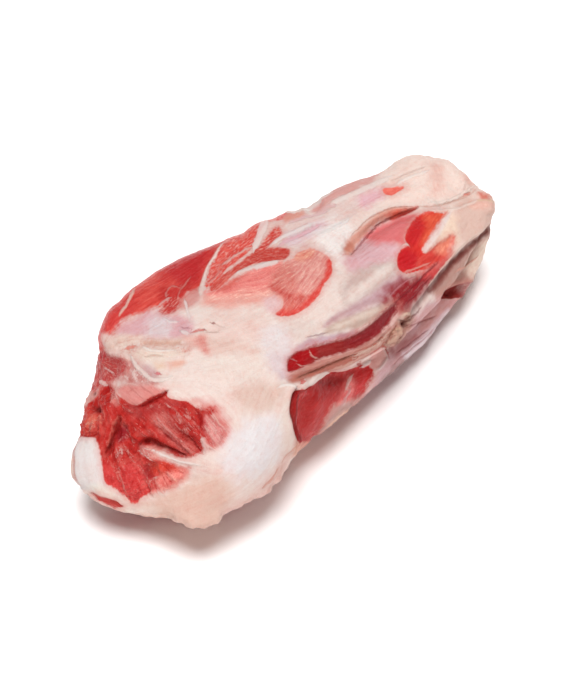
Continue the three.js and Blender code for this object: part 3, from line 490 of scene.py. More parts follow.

# Pale strands of fat, sinew and torn fibre, which stand proud, and a few painted highlights: tone, width,
# line
STRANDS = {
    "far_streak": ("EFCFC0", 2.6, [(121, 316), (127, 303), (131, 297), (135, 290)]),
    "cut_thread_a": ("E3B5AF", 2.2, [(158, 306), (164, 301), (170, 297)]),
    "skin_thread_a": ("F1E2DF", 2.6, [(185, 300), (187, 309), (190, 320)]),
    "seam": ("FFEDE4", 2.2, [(199, 292), (203, 280), (207, 268), (214, 258), (223, 247)]),
    "seam_foot": ("F0DAD2", 3.0, [(200, 294), (203, 286), (206, 276)]),
    "seam_branch": ("E3A79F", 1.4, [(206, 285), (214, 278), (222, 270)]),
    "finger_streak": ("EBC7BE", 2.2, [(222, 265), (234, 256), (249, 247)]),
    "wedge": ("F9E7E2", 7.0, [(254, 250), (258, 240), (263, 230), (268, 222)]),
    "below_finger": ("EDE0DB", 2.8, [(236, 273), (248, 269), (260, 266)]),
    "upper_thread_a": ("F6EDE9", 3.4, [(270, 245), (282, 238), (296, 231), (312, 224)]),
    "upper_thread_b": ("F4E8E2", 3.0, [(286, 216), (300, 212), (318, 203), (334, 196)]),
    "upper_thread_c": ("F6EEEA", 3.6, [(318, 236), (334, 228), (350, 218)]),
    "ridge_light": ("F6E9E2", 4.0, [(330, 206), (352, 197), (374, 187), (392, 178)]),
    "knuckle_ridge": ("FBEEE6", 3.0, [(397, 184), (412, 177), (428, 171)]),
    "knuckle_thread_a": ("FAE9DF", 2.4, [(430, 203), (446, 202), (462, 194), (474, 187)]),
    "knuckle_thread_b": ("F8E4D9", 2.2, [(428, 211), (452, 210), (468, 205), (478, 200)]),
    "notch_thread": ("F3DCD4", 1.6, [(402, 246), (407, 244), (410, 245)]),
    # The cleft's pale cream lip, partly a painted highlight along its edge
    "cleft_lip": ("ECD3C6", 2.6, [(428, 286), (440, 270), (454, 252), (468, 239), (488, 226)]),
    "under_ridge": ("E8A896", 1.6, [(456, 272), (468, 264), (477, 256)]),
    "tan_ridge": ("CD9589", 3.4, [(291, 375), (314, 366), (340, 356), (365, 345), (386, 330)]),
    "strip_fork": ("DDA99C", 1.8, [(311, 351), (313, 356), (319, 358)]),
    "strip_fork_b": ("DBA398", 1.5, [(299, 363), (303, 366), (309, 366)]),
    "white_patch": ("F1E4DD", 6.0, [(309, 385), (317, 378), (329, 373)]),
    "flap_thread": ("F6EEE8", 2.6, [(278, 388), (288, 385), (297, 388)]),
    "tuft_a": ("DDB8A3", 3.0, [(386, 345), (394, 337), (402, 327)]),
    "tuft_b": ("E6C8B4", 2.4, [(400, 317), (405, 313), (411, 316), (409, 322)]),
    "edge_tuft": ("E6B49C", 3.4, [(345, 410), (350, 411), (356, 407)]),
    "edge_streak": ("CBA39C", 3.0, [(316, 440), (326, 426), (338, 414), (352, 404)]),
    "torn_a": ("DB8F88", 1.4, [(152, 418), (164, 431), (178, 444), (188, 453)]),
    "torn_b": ("E2A099", 1.6, [(155, 415), (167, 428), (181, 441), (191, 452)]),
    "torn_c": ("DB8F88", 1.4, [(156, 413), (168, 427), (180, 440), (190, 451)]),
    "torn_e": ("EAB9B0", 2.0, [(208, 416), (215, 428), (222, 436)]),
    "torn_f": ("E7ADA5", 2.0, [(204, 427), (212, 438), (218, 444)]),
    "right_fringe_a": ("EDB9B0", 1.8, [(212, 412), (218, 422), (226, 430)]),
    "right_fringe_b": ("EDBDB4", 1.8, [(206, 420), (213, 430), (220, 440)]),
    "right_fringe_c": ("EFC9C1", 1.8, [(200, 436), (206, 444), (214, 450)]),
    "white_hook": ("F4E7DF", 4.0, [(132, 356), (137, 366), (145, 373), (151, 379), (161, 381), (171, 377)]),
    "band_c": ("F8F0E8", 2.4, [(143, 347), (152, 351), (164, 351), (175, 350)]),
    "spot_thread": ("E9C3BE", 1.4, [(102, 367), (107, 370), (112, 373)]),
    "skin_arc": ("EEDFDD", 2.2, [(164, 318), (170, 322), (178, 322)]),
    "teardrop": ("EADFDC", 3.4, [(181, 331), (185, 333), (189, 334)]),
    "fan_line_a": ("DB8C83", 1.3, [(125, 447), (131, 458), (138, 465), (147, 478), (152, 489)]),
    "fan_line_b": ("DD8F86", 1.5, [(118, 466), (119, 475), (124, 487), (128, 498)]),
    "pale_gap": ("E0B9B4", 2.6, [(203, 438), (204, 445), (206, 452)]),
    "below_finger_b": ("EFE5E1", 4.6, [(254, 268), (265, 265), (278, 261)]),
    "corner_yellow": ("EBD0B0", 1.4, [(477, 200), (485, 201), (493, 203)]),
    # Painted highlight along the lower edge of the red cut
    "cut_rim_highlight": ("F0A79C", 1.8, [(404, 273), (418, 268), (431, 263)]),
    "window_edge": ("E7D0CB", 2.2, [(387, 357), (383, 364), (377, 370)]),
    "window_white": ("F3E6E0", 3.6, [(363, 367), (367, 364), (370, 361)]),
    "tan_low": ("DBB1A3", 2.8, [(332, 369), (345, 364), (360, 356), (375, 346), (386, 338)]),
    # Painted highlight on the salmon flap's upper edge
    "salmon_flap_highlight": ("EFC0B7", 1.3, [(119, 388), (128, 384), (140, 386)]),
    "torn_d": ("D98A83", 1.3, [(163, 412), (175, 424), (187, 436)]),
    "torn_g": ("DC958E", 1.6, [(172, 410), (183, 419), (192, 428)]),
    "mauve_streak": ("F4D0C8", 3.0, [(354, 375), (350, 382), (347, 390)]),
    "fan_knot_a": ("DDA49C", 3.4, [(116, 447), (117, 454), (118, 461)]),
    "fan_knot_b": ("E3B4AC", 2.0, [(121, 446), (122, 453), (121, 458)]),
    "fan_knot_c": ("E59C92", 1.8, [(124, 446), (128, 451), (131, 457)]),
    "fan_side": ("E88A7E", 1.6, [(108, 458), (112, 466), (116, 474), (118, 482)]),
    "torn_rim_light": ("E9776A", 2.2, [(116, 416), (113, 424), (110, 436), (106, 447)]),
    "left_knot_a": ("EFA18E", 2.6, [(86, 424), (90, 421), (95, 420)]),
    "left_knot_b": ("F0B09E", 2.0, [(87, 430), (91, 428), (94, 425)]),
    "left_knot_c": ("E98A78", 2.2, [(98, 414), (101, 421), (100, 428)]),
    "left_knot_d": ("E9A69C", 1.8, [(109, 388), (112, 396), (111, 404)]),
    "left_knot_e": ("E7B0A8", 1.8, [(115, 390), (116, 397), (119, 403)]),
    "wedge_streak_a": ("F6DCD4", 1.6, [(138, 451), (145, 456), (152, 461)]),
    "wedge_streak_b": ("F3CFC6", 1.5, [(143, 447), (152, 452), (160, 455)]),
    "wedge_streak_c": ("F8EFE9", 2.2, [(150, 449), (164, 455), (180, 461), (200, 465)]),
    "lower_white_a": ("EBB8AE", 2.0, [(150, 481), (155, 478), (160, 477)]),
    "lower_white_b": ("F0B5A8", 1.6, [(146, 482), (150, 490), (153, 496)]),
    "lower_white_c": ("F2A496", 1.8, [(158, 484), (164, 488), (168, 489)]),
    "edge_fat": ("F0D6CF", 4.0, [(97, 380), (101, 382), (105, 384)]),
    "tuft_c": ("D9B198", 2.2, [(391, 333), (396, 329), (401, 327)]),
    "triangle_lip": ("E9C9BD", 2.0, [(350, 410), (358, 405), (365, 397)]),
    "tan_red_light": ("E8CDBD", 1.8, [(352, 356), (366, 349), (380, 340), (390, 330)]),
    "torn_patch_a": ("DE9890", 4.0, [(183, 409), (187, 413), (189, 420)]),
    "torn_patch_b": ("DC948C", 3.0, [(176, 412), (179, 418), (180, 424)]),
    "mauve_streak_b": ("E0A8A6", 2.4, [(352, 388), (348, 397), (342, 405)]),
    "flap_white": ("F8F2EC", 2.0, [(281, 387), (287, 385), (296, 388)]),
    "torn_h": ("DB8880", 2.2, [(148, 408), (152, 406), (156, 404)]),
    "torn_i": ("EBA59C", 1.5, [(165, 404), (170, 408), (175, 411)]),
    "torn_j": ("DE9A92", 3.0, [(184, 428), (186, 431), (188, 434)]),
    "torn_k": ("E08A82", 2.6, [(192, 421), (196, 426), (200, 431)]),
    "torn_l": ("DF8D85", 2.6, [(121, 405), (126, 409), (131, 412)]),
    "torn_m": ("DE8A82", 2.2, [(125, 431), (130, 436), (133, 443)]),
    "torn_n": ("DC8580", 1.8, [(118, 442), (122, 438), (127, 439)]),
    "torn_o": ("E77468", 2.0, [(99, 404), (104, 412), (105, 420)]),
    "torn_p": ("E58F86", 1.6, [(134, 428), (141, 433), (147, 436)]),
    "lower_white_d": ("F2B0A4", 1.6, [(155, 480), (160, 488), (163, 494)]),
    "lower_white_e": ("F0A598", 1.5, [(166, 473), (172, 479), (176, 482)]),
    "cut_thread_b": ("DD928A", 1.3, [(165, 298), (167, 291), (172, 286), (178, 287)]),
    "cut_thread_c": ("DA8880", 1.2, [(190, 277), (185, 284), (180, 290), (177, 297)]),
}

# Narrow nicks, seams and creases, some of them lines of painted shadow: tone, width, line
NICKS = {
    "nick_a": ("D2463A", 2.4, [(192, 332), (199, 330), (206, 330)]),
    # Painted shadow: the dark line that the flap's side edge casts on the muscle beside it
    "flap_side_shadow": ("7A1A1A", 2.2, [(297, 388), (294, 398), (292, 412), (295, 423), (299, 441)]),
    # Painted shadow under the flap's top edge
    "flap_top_shadow": ("8A1A1A", 1.8, [(296, 391), (305, 391), (312, 387)]),
    "red_dot": ("CE2F2B", 3.6, [(301, 383), (305, 381)]),
    "window_red": ("C4483F", 1.8, [(368, 354), (376, 350), (385, 347), (389, 357)]),
    "strip_cleft": ("8E5E4C", 1.5, [(297, 378), (315, 371), (330, 364), (352, 354)]),
    "tuft_line": ("6E2F2B", 1.5, [(404, 325), (413, 317), (421, 308)]),
    # Painted shadow: a thin dark line under the fold's lip
    "fold_line": ("8E3A34", 1.6, [(351, 254), (361, 243), (376, 227), (388, 219), (402, 213), (416, 208)]),
    "fold_top": ("CF8A78", 1.3, [(352, 235), (366, 221), (380, 213), (394, 208), (412, 207)]),
    "knuckle_crease": ("DDAA9A", 1.6, [(421, 206), (441, 205), (463, 197), (475, 190)]),
    "knuckle_red_a": ("E0604C", 2.4, [(464, 195), (467, 194), (471, 193)]),
    "ridge_crease": ("E3C4B9", 1.7, [(392, 181), (408, 173), (424, 167)]),
    "lilac_streak_a": ("E7B0B9", 3.6, [(278, 246), (290, 239), (305, 232), (320, 224)]),
    "lilac_streak_b": ("E7C1C4", 2.6, [(290, 223), (308, 217), (328, 211)]),
    "striated_a": ("842A30", 1.8, [(396, 302), (410, 290), (424, 276), (438, 262)]),
    "striated_b": ("8A2E34", 1.4, [(406, 304), (418, 292), (430, 278)]),
    "lower_streak_a": ("A5605C", 1.6, [(406, 328), (420, 322), (436, 316)]),
    "rim_red_a": ("E09A88", 1.6, [(262, 489), (271, 480), (279, 470)]),
    "rim_red_b": ("E2A08E", 1.4, [(283, 463), (290, 453), (296, 447)]),
    "rim_line": ("B94C45", 2.2, [(90, 493), (104, 498), (122, 506)]),
    # Painted shadow: a dark line under the salmon flap's lip
    "flap_lip_shadow": ("B0211F", 2.0, [(138, 407), (147, 404), (158, 398), (167, 391)]),
    "torn_dark_a": ("931D20", 2.2, [(186, 436), (193, 444), (199, 451)]),
    # Painted shade between the torn fibres
    "torn_fibre_gap_shade": ("931D20", 2.4, [(164, 434), (177, 443), (188, 453)]),
    "torn_dark_c": ("931D20", 3.0, [(196, 411), (201, 419), (199, 428)]),
    "torn_dark_d": ("A81418", 2.8, [(107, 384), (105, 392), (102, 401)]),
    "nick_dark": ("8A2A24", 2.0, [(201, 329), (205, 330)]),
    "nick_tail": ("D3B0A3", 1.1, [(206, 332), (212, 332), (218, 332)]),
    "nick_b": ("8E2E2A", 2.6, [(212, 323), (215, 323)]),
    "nick_b_tail": ("DDBFB3", 1.0, [(215, 324), (224, 327)]),
    "band_red": ("E06C58", 3.0, [(126, 349), (130, 347), (134, 346)]),
    "skin_line": ("B57F86", 1.4, [(181, 327), (185, 328), (189, 328)]),
    "crimson_dot": ("D95562", 4.0, [(156, 373), (160, 374)]),
    "salmon_streak_a": ("D8827A", 1.2, [(128, 386), (136, 392), (144, 399)]),
    "salmon_streak_b": ("D98880", 1.1, [(140, 386), (148, 391), (154, 395)]),
    "cut_edge": ("C9857C", 1.6, [(78, 437), (77, 448), (76, 462), (77, 475), (80, 486)]),
    "tan_red": ("C0604F", 1.6, [(352, 361), (362, 357), (373, 350), (384, 345)]),
    "tan_red_b": ("C57868", 1.4, [(352, 352), (368, 345), (384, 335), (392, 326)]),
    "red_spot": ("AE2220", 3.4, [(357, 363), (361, 366)]),
    "sausage_line": ("A9868A", 1.6, [(308, 337), (317, 335), (326, 333)]),
    "upper_pink": ("E7B9B7", 3.4, [(316, 213), (327, 208), (336, 206)]),
    # Painted shade in the gaps between the tufts
    "tuft_gap_shade_a": ("53271F", 2.0, [(399, 320), (402, 321), (405, 319), (407, 316)]),
    "tuft_gap_shade_b": ("7A4838", 1.6, [(396, 326), (392, 331), (388, 338)]),
    "tuft_gap_shade_c": ("7A4838", 1.4, [(404, 329), (400, 336), (395, 342)]),
    "band_brown_c": ("DDBBAA", 1.2, [(146, 357), (154, 355), (162, 356)]),
    "left_dark_a": ("9A1F20", 2.0, [(80, 434), (87, 436), (96, 434)]),
    "left_dark_b": ("A32422", 1.6, [(96, 428), (98, 434), (97, 440)]),
    "left_dark_c": ("A82A26", 1.4, [(84, 427), (89, 432), (94, 431)]),
    # Painted shade down the torn cut's deep crevice
    "torn_crevice_line_shade": ("8E1418", 2.4, [(118, 419), (115, 430), (111, 441), (107, 450)]),
    "rim_red_c": ("D98478", 1.6, [(134, 514), (144, 517), (154, 518)]),
    "striated_c": ("C98088", 1.4, [(390, 296), (402, 284), (414, 277)]),
    "lower_streak_b": ("9A5658", 1.4, [(398, 352), (412, 342), (428, 330)]),
    "lower_streak_c": ("B97C7C", 1.4, [(392, 366), (408, 352), (426, 338), (440, 324)]),
    "strip_white": ("C98A88", 1.2, [(289, 357), (294, 358), (298, 360)]),
}

# Deep clefts and holes, sunk and darkened with painted shade: half width, darkness of the painted shade,
# depth in millimetres, line
SHADED_CLEFTS = {
    # Painted shadow along the flap's side edge, which is also sunk
    "flap_side_shadow": (2.2, 0.3, 0.9, [(297, 388), (294, 398), (293, 412), (296, 424), (300, 441)]),
    "side_cleft": (2.2, 0.45, 1.0, [
        (490, 226), (482, 235), (470, 244), (458, 256), (445, 271), (434, 285), (424, 298), (412, 313),
        (405, 323)]),
    "strip_cleft": (1.3, 0.1, 0.45, [(297, 378), (315, 371), (330, 364), (346, 356)]),
    "tuft_hole": (2.4, 0.9, 1.2, [(402, 323), (406, 325)]),
    "fold_line": (2.0, 0.0, 0.4, [(352, 253), (370, 236), (388, 222), (404, 214), (420, 208)]),
    "pocket": (3.0, 0.25, 1.4, [(446, 294), (454, 291), (463, 287)]),
    # Painted shadow under the salmon flap's lip, which is also sunk
    "flap_lip_shadow": (1.6, 0.2, 0.8, [(142, 406), (150, 402), (158, 397), (167, 391)]),
    "crevice_a": (2.6, 0.25, 1.6, [(117, 418), (115, 430), (111, 443), (106, 455)]),
    "crevice_b": (2.4, 0.25, 1.3, [(139, 445), (147, 441), (154, 443), (163, 448), (173, 453), (184, 457)]),
    "crevice_c": (4.0, 0.08, 1.0, [(146, 475), (151, 468), (156, 464)]),
    "edge_hole": (2.6, 0.8, 1.2, [(91, 406), (95, 408), (98, 410)]),
    "spot_hole": (1.5, 0.7, 0.6, [(91, 391), (92, 394)]),
    "crevice_d": (4.0, 0.15, 1.2, [(119, 440), (121, 432), (125, 427)]),
}

# Soft ridges and furrows: half width, height in millimetres, line
RIDGES = {
    "upper_sinew": (8, 1.0, [(283, 224), (330, 201), (372, 184), (402, 170)]),
    "upper_furrow": (6, -0.6, [(290, 240), (316, 228), (340, 216), (362, 206)]),
    "fold": (4.5, 1.0, [(346, 249), (358, 233), (372, 220), (388, 212), (404, 209)]),
    "cream_band": (9, 0.8, [(345, 296), (370, 280), (396, 266)]),
    "strip_cream": (6, 1.1, [(322, 334), (350, 322), (376, 311), (402, 300)]),
    "cleft_lip": (6, 1.0, [(438, 268), (454, 250), (470, 237), (490, 224)]),
    "tan_ridge": (4, 0.8, [(292, 375), (314, 366), (340, 356), (365, 344), (386, 329)]),
    "band_tuft": (5, 0.9, [(107, 349), (116, 342), (126, 338), (142, 338)]),
    "flap_thread": (5, 0.8, [(272, 391), (286, 386), (297, 390)]),
    "salmon_flap": (8, 0.9, [(126, 396), (140, 398), (156, 391)]),
    "sinew_wedge": (3.5, 0.5, [(140, 450), (160, 454), (184, 460), (204, 465)]),
    "torn_bundle_a": (5, 0.9, [(153, 416), (165, 427), (177, 438), (189, 450)]),
    "torn_bundle_b": (5, 0.7, [(112, 452), (122, 450), (126, 458)]),
    "tuft": (5, 0.9, [(388, 344), (396, 336), (402, 328)]),
    "tendon": (4, 0.5, [(450, 215), (438, 232), (426, 250)]),
    "far_corner": (10, 1.8, [(103, 348), (105, 336), (111, 320), (122, 304)]),
    "knuckle_shoulder": (10, 1.7, [(434, 158), (446, 162), (458, 167), (469, 178), (478, 190)]),
    "knuckle_corner": (8, 0.9, [(486, 194), (491, 204), (490, 216)]),
    "knuckle_dip": (7, -0.5, [(374, 178), (386, 170), (396, 165)]),
    "back_muscle": (7, 0.5, [(326, 199), (346, 189), (366, 181)]),
    "upper_notch": (6, -1.3, [(304, 212), (314, 208), (324, 203)]),
    "grainy_top": (7, 2.3, [(244, 232), (260, 221), (275, 214), (294, 212)]),
    "left_hollow": (9, -1.4, [(98, 360), (93, 376), (89, 392), (86, 408)]),
    "side_hollow": (7, -0.7, [(488, 238), (487, 250), (484, 260)]),
    "flap_hollow": (7, -1.0, [(294, 454), (289, 466), (281, 478)]),
    "rim_tab": (5, 1.6, [(184, 523), (196, 526), (209, 525), (217, 519)]),
    "rim_tab_small": (3.5, 1.1, [(260, 496), (267, 493), (272, 488)]),
    "flap_step": (5, -0.5, [(138, 507), (164, 496), (192, 482), (222, 470)]),
    "torn_ridge": (6, 1.0, [(101, 386), (108, 404), (106, 426), (106, 452)]),
    "torn_dome": (10, 0.9, [(134, 422), (146, 430), (152, 436)]),
    "lower_dome": (10, 0.9, [(122, 478), (132, 486), (136, 494)]),
    "tuft_high": (4, 1.0, [(399, 320), (406, 314), (411, 318)]),
    "tan_low": (4, 0.8, [(332, 369), (345, 364), (360, 356), (375, 346), (386, 338)]),
    "white_hook": (4, 0.6, [(132, 356), (137, 366), (145, 373), (151, 379), (161, 381), (171, 377)]),
    "band_tuft_low": (5, 0.9, [(106, 354), (117, 353), (130, 359)]),
    "lower_corner": (7, 1.6, [(478, 278), (471, 290), (460, 302)]),
    "far_edge": (8, 1.0, [(110, 308), (135, 284), (165, 267), (198, 255), (231, 239), (262, 222)]),
    "white_cut_edge": (7, 1.2, [(80, 440), (75, 456), (74, 472), (79, 487)]),
    "rim_hollow": (6, -0.7, [(158, 518), (167, 519), (176, 520)]),
    "knuckle_wrinkle_a": (3, 0.35, [(428, 164), (435, 176), (438, 190)]),
    "knuckle_wrinkle_b": (3, -0.35, [(446, 166), (451, 178), (453, 192)]),
    "knuckle_wrinkle_c": (3, 0.3, [(458, 168), (462, 180), (464, 190)]),
    "flap_crest": (6, -2.2, [(303, 391), (306, 402), (307, 412), (305, 425), (301, 439)]),
    "rim_corner": (4, 2.8, [(198, 526), (207, 524), (215, 520), (221, 513)]),
}

# Knobbly and ragged places: reach, height in millimetres, size of the lumps in millimetres, line
KNOBBLY = {
    "flap_rim": (4.5, 0.6, 2.2, [
        (78, 486), (90, 497), (120, 508), (152, 518), (173, 520), (193, 524), (211, 522), (244, 505),
        (265, 493), (280, 474), (293, 453)]),
    "tufts": (7, 1.1, 1.2, [(386, 345), (396, 336), (403, 326), (410, 314)]),
    "cleft": (6, 0.5, 1.4, [(300, 376), (330, 364), (360, 352), (384, 338)]),
    "band": (9, 0.5, 1.8, [(106, 350), (124, 344), (150, 347), (186, 347)]),
    "strands": (12, 0.4, 1.6, [(108, 366), (128, 372), (148, 378)]),
    "knuckle_corner": (6, 0.7, 1.6, [(464, 190), (480, 194), (492, 204)]),
    "left_edge": (7, 0.6, 1.8, [(98, 356), (92, 384), (84, 408), (80, 430)]),
    "torn_left": (14, 1.0, 1.7, [(104, 396), (98, 412), (92, 428)]),
    "torn_middle": (22, 0.6, 2.4, [(124, 416), (140, 440), (126, 470)]),
    "triangle_edge": (4, 0.6, 1.6, [(318, 437), (334, 420), (350, 409), (364, 396)]),
}

# Edges of lean meat that melt into what lies beside them: softness in millimetres, reach, line
SOFT_EDGES = {
    "far_muscle": (1.3, 7, [(112, 336), (128, 320), (150, 309), (176, 310), (194, 292)]),
    "pink_muscle": (1.8, 8, [(208, 300), (232, 300), (256, 298), (276, 294)]),
    "strip_top": (1.3, 6, [(306, 345), (330, 338), (356, 331), (382, 312), (396, 303)]),
    "torn_right": (1.5, 9, [(204, 406), (218, 412), (228, 428), (222, 442), (206, 452)]),
    "torn_foot": (1.4, 8, [(196, 464), (186, 474), (176, 486), (156, 494)]),
    "triangle_foot": (0.9, 6, [(372, 378), (352, 400), (332, 408), (314, 438)]),
    "cut_right": (1.0, 6, [(446, 214), (440, 228), (430, 248), (442, 256), (430, 268)]),
    "spot": (1.2, 8, [(112, 354), (128, 366), (112, 382), (96, 388)]),
    "wedge_top": (0.8, 4, [(164, 450), (176, 453), (190, 456), (202, 452)]),
    "wedge_low": (1.2, 6, [(160, 459), (172, 464), (188, 469), (180, 478)]),
    "cut_tip": (1.5, 6, [(446, 240), (453, 237), (449, 249)]),
}

# Lines that the fibres of the meat and of the fat follow
FIBRES = {
    "far_muscle": [(104, 345), (110, 322), (128, 304), (160, 284), (200, 262), (226, 242)],
    "far_heart": [(172, 300), (186, 282), (204, 262), (220, 246)],
    "grainy": [(208, 284), (222, 266), (240, 246), (262, 226), (284, 214)],
    "finger": [(214, 290), (236, 266), (262, 254), (288, 252)],
    "pink": [(204, 302), (232, 290), (262, 284), (282, 272)],
    "pad": [(284, 312), (302, 286), (316, 262), (324, 252)],
    "mauve": [(124, 338), (150, 322), (178, 304)],
    "band": [(104, 350), (126, 346), (152, 346), (188, 346), (220, 340)],
    "hook": [(132, 357), (140, 368), (152, 379), (170, 379)],
    "strands": [(100, 360), (118, 366), (138, 380), (152, 392)],
    "salmon": [(122, 386), (134, 392), (148, 400)],
    "left_edge": [(98, 352), (95, 376), (90, 396), (84, 412)],
    "torn_left": [(112, 414), (113, 430), (108, 446), (104, 462), (108, 480)],
    "torn_mid": [(128, 412), (146, 424), (162, 438), (180, 452)],
    "torn_bundle": [(152, 414), (170, 434), (190, 452)],
    "torn_right": [(196, 408), (210, 424), (222, 438)],
    "lower_lobe": [(114, 452), (122, 474), (130, 498)],
    "lower_right": [(138, 452), (150, 470), (156, 490)],
    "wedge": [(138, 450), (160, 454), (184, 462), (214, 470)],
    "flap": [(110, 500), (150, 508), (190, 496), (226, 476), (256, 440), (272, 400)],
    "fat_middle": [(180, 356), (220, 348), (262, 336), (300, 322), (340, 296), (372, 268)],
    "upper": [(276, 246), (306, 228), (340, 212), (376, 192), (410, 172)],
    "knuckle_wrap": [(432, 160), (440, 180), (446, 198)],
    "knuckle_line": [(415, 207), (445, 198), (475, 190)],
    "strip": [(288, 366), (320, 352), (352, 344), (380, 328), (396, 308)],
    "sausage": [(318, 338), (350, 322), (380, 308), (404, 298)],
    "lilac_band_and_shade": [(332, 318), (366, 296), (400, 272)],
    "rose": [(352, 262), (380, 240), (412, 218)],
    "cut_upper": [(420, 250), (428, 232), (440, 214)],
    "cut_lower": [(402, 268), (424, 258), (448, 240)],
    "striated": [(392, 306), (416, 286), (446, 252)],
    "side": [(424, 300), (446, 272), (468, 248), (490, 226)],
    "under": [(440, 294), (462, 274), (486, 246)],
    "lower": [(372, 396), (400, 360), (430, 326), (470, 288)],
    "triangle": [(300, 438), (318, 408), (344, 380), (368, 368)],
}

# The sides that the photograph doesn't show, by station and clock angle
ROUND_COVER = {
    "far_skin": ("DDB7BA", 5, 0.8, [
        (-70, 330), (-40, 318), (10, 322), (40, 330), (30, 350), (-20, 346), (-60, 350)]),
    "far_fat": ("F1E0D6", 6, 0.4, [
        (-80, 310), (-30, 300), (30, 306), (60, 318), (50, 334), (0, 322), (-50, 318), (-78, 330)]),
    "under_skin": ("CFB0B2", 6, 0.8, [
        (0, 200), (40, 196), (76, 206), (74, 250), (40, 262), (6, 246), (-10, 220)]),
    "under_pink": ("E5BCB2", 6, 0.4, [
        (-60, 232), (-30, 222), (-10, 240), (-20, 272), (-50, 276), (-66, 256)]),
    "under_rim": ("C7605A", 4, 0.4, [
        (-92, 196), (-70, 198), (-50, 204), (-34, 210), (-40, 226), (-66, 222), (-88, 220)]),
    "knuckle": ("EED5C9", 8, 0.2, [
        (62, 150), (96, 150), (96, 430), (60, 430), (66, 360), (58, 300), (66, 230)]),
    "knuckle_blush": ("E5B3A5", 5, 0.3, [(72, 262), (84, 258), (86, 282), (76, 292), (68, 280)]),
    "cut_edge": ("F4EBE6", 4, 0.1, [(-94, 300), (-78, 306), (-72, 340), (-76, 372), (-94, 380)]),
    "back_muscle": ("D9978F", 5, 0.9, [
        (24, 384), (32, 364), (46, 352), (60, 350), (72, 360), (68, 382), (58, 404), (34, 412),
        (26, 400)]),
    "far_sinew": ("F4E9E4", 3, 0.8, [
        (14, 346), (30, 338), (50, 338), (66, 346), (50, 346), (34, 352), (24, 362)]),
}
ROUND_LEAN = {
    "far_muscle": ("C63F3B", 0.8, 0.3, 0.1, [
        (-78, 384), (-70, 362), (-54, 350), (-32, 346), (-16, 354), (-9, 372), (-9, 396), (-14, 424),
        (-40, 432), (-72, 430)]),
    "grainy_muscle": ("D4554D", 0.6, 0.3, 0.5, [
        (-6, 372), (2, 358), (12, 352), (20, 360), (24, 378), (22, 404), (14, 422), (-8, 424), (-7, 396)]),
    "under_muscle": ("AE3A37", 0.6, 0.6, 0.1, [
        (-28, 238), (0, 228), (30, 236), (44, 252), (30, 272), (-6, 274), (-30, 262)]),
    "under_strip": ("B9423E", 0.6, 0.5, 0.15, [
        (-62, 284), (-30, 278), (6, 286), (2, 300), (-36, 296), (-64, 300)]),
    "under_rim": ("A82E2B", 0.6, 0.4, 0.1, [
        (-92, 201), (-70, 202), (-50, 207), (-36, 214), (-26, 236), (-30, 262), (-48, 280), (-70, 290),
        (-86, 292), (-94, 240)]),
}
ROUND_STRANDS = {
    "far_skin_a": ("F0E4E0", 0.9, [(-50, 338), (-16, 334), (24, 340)]),
    "far_skin_b": ("EDDDD8", 0.7, [(-30, 328), (0, 328), (34, 336)]),
    "under_thread_a": ("EFD9D0", 0.8, [(-20, 244), (4, 240), (34, 250)]),
    "under_thread_b": ("E8C9C0", 0.8, [(-24, 256), (8, 258), (38, 258)]),
    "under_skin_a": ("E6D6D4", 0.9, [(10, 212), (36, 210), (66, 220)]),
    "under_skin_b": ("E1CFCE", 0.8, [(16, 234), (44, 240), (68, 238)]),
    "far_seam_a": ("E0A39B", 0.5, [(-68, 376), (-46, 366), (-24, 364), (-12, 374)]),
    "far_seam_b": ("DC9A92", 0.4, [(-60, 392), (-36, 384), (-14, 388)]),
    "back_thread": ("F1DFD9", 0.6, [(30, 392), (46, 374), (64, 366)]),
}
ROUND_NICKS = {
    "far_line": ("B4504A", 0.6, [(-74, 364), (-54, 347), (-32, 343), (-16, 350)]),
    "under_line": ("8E4A44", 0.8, [(-50, 330), (-20, 322), (8, 318), (36, 324)]),
    "knuckle_line": ("CF9A8B", 0.6, [(64, 300), (74, 310), (86, 306)]),
    "knuckle_line_b": ("D5A596", 0.5, [(66, 340), (76, 334), (88, 340)]),
    "knuckle_line_c": ("D2A090", 0.5, [(70, 318), (80, 322), (89, 318)]),
    "knuckle_line_d": ("D8AC9E", 0.6, [(62, 354), (74, 350), (86, 356)]),
}

# Soft ridges and furrows there: half width, height in millimetres, line
ROUND_RIDGES = {
    "far_belly": (9, 0.9, [(-74, 372), (-46, 366), (-20, 366), (-6, 378)]),
    "far_furrow": (3, -0.9, [(-74, 352), (-48, 340), (-20, 340), (10, 346), (40, 336), (66, 338)]),
    "grainy_gap": (2, -0.6, [(-8, 416), (-7, 392), (-9, 370)]),
    "back_belly": (6, 0.7, [(28, 384), (46, 366), (64, 360)]),
    "knuckle_wrinkle_a": (2, -0.5, [(64, 300), (74, 310), (87, 306)]),
    "knuckle_wrinkle_b": (2, -0.5, [(66, 340), (76, 334), (88, 340)]),
    "knuckle_wrinkle_c": (2, -0.4, [(62, 354), (74, 350), (86, 356)]),
    "knuckle_fold": (3, 0.6, [(72, 322), (80, 328), (90, 322)]),
    "under_fold": (4, 0.7, [(-60, 306), (-20, 300), (20, 304), (56, 300)]),
}

# Lines and outlines


def ease(value, low, high):
    """0 below low, 1 above high and a smooth step between them."""
    t = np.clip((value - low) / (high - low), 0, 1)
    return t * t * (3 - 2 * t)


def blend(base, tone, share):
    return base + (tone - base) * share[:, None]


def ends_off(share, left=0.0):
    """1 along the middle half of a line, falling over its end quarters to what is left at its ends."""
    return np.clip(4 * share + left, 0, 1) * np.clip(4 * (1 - share) + left, 0, 1)


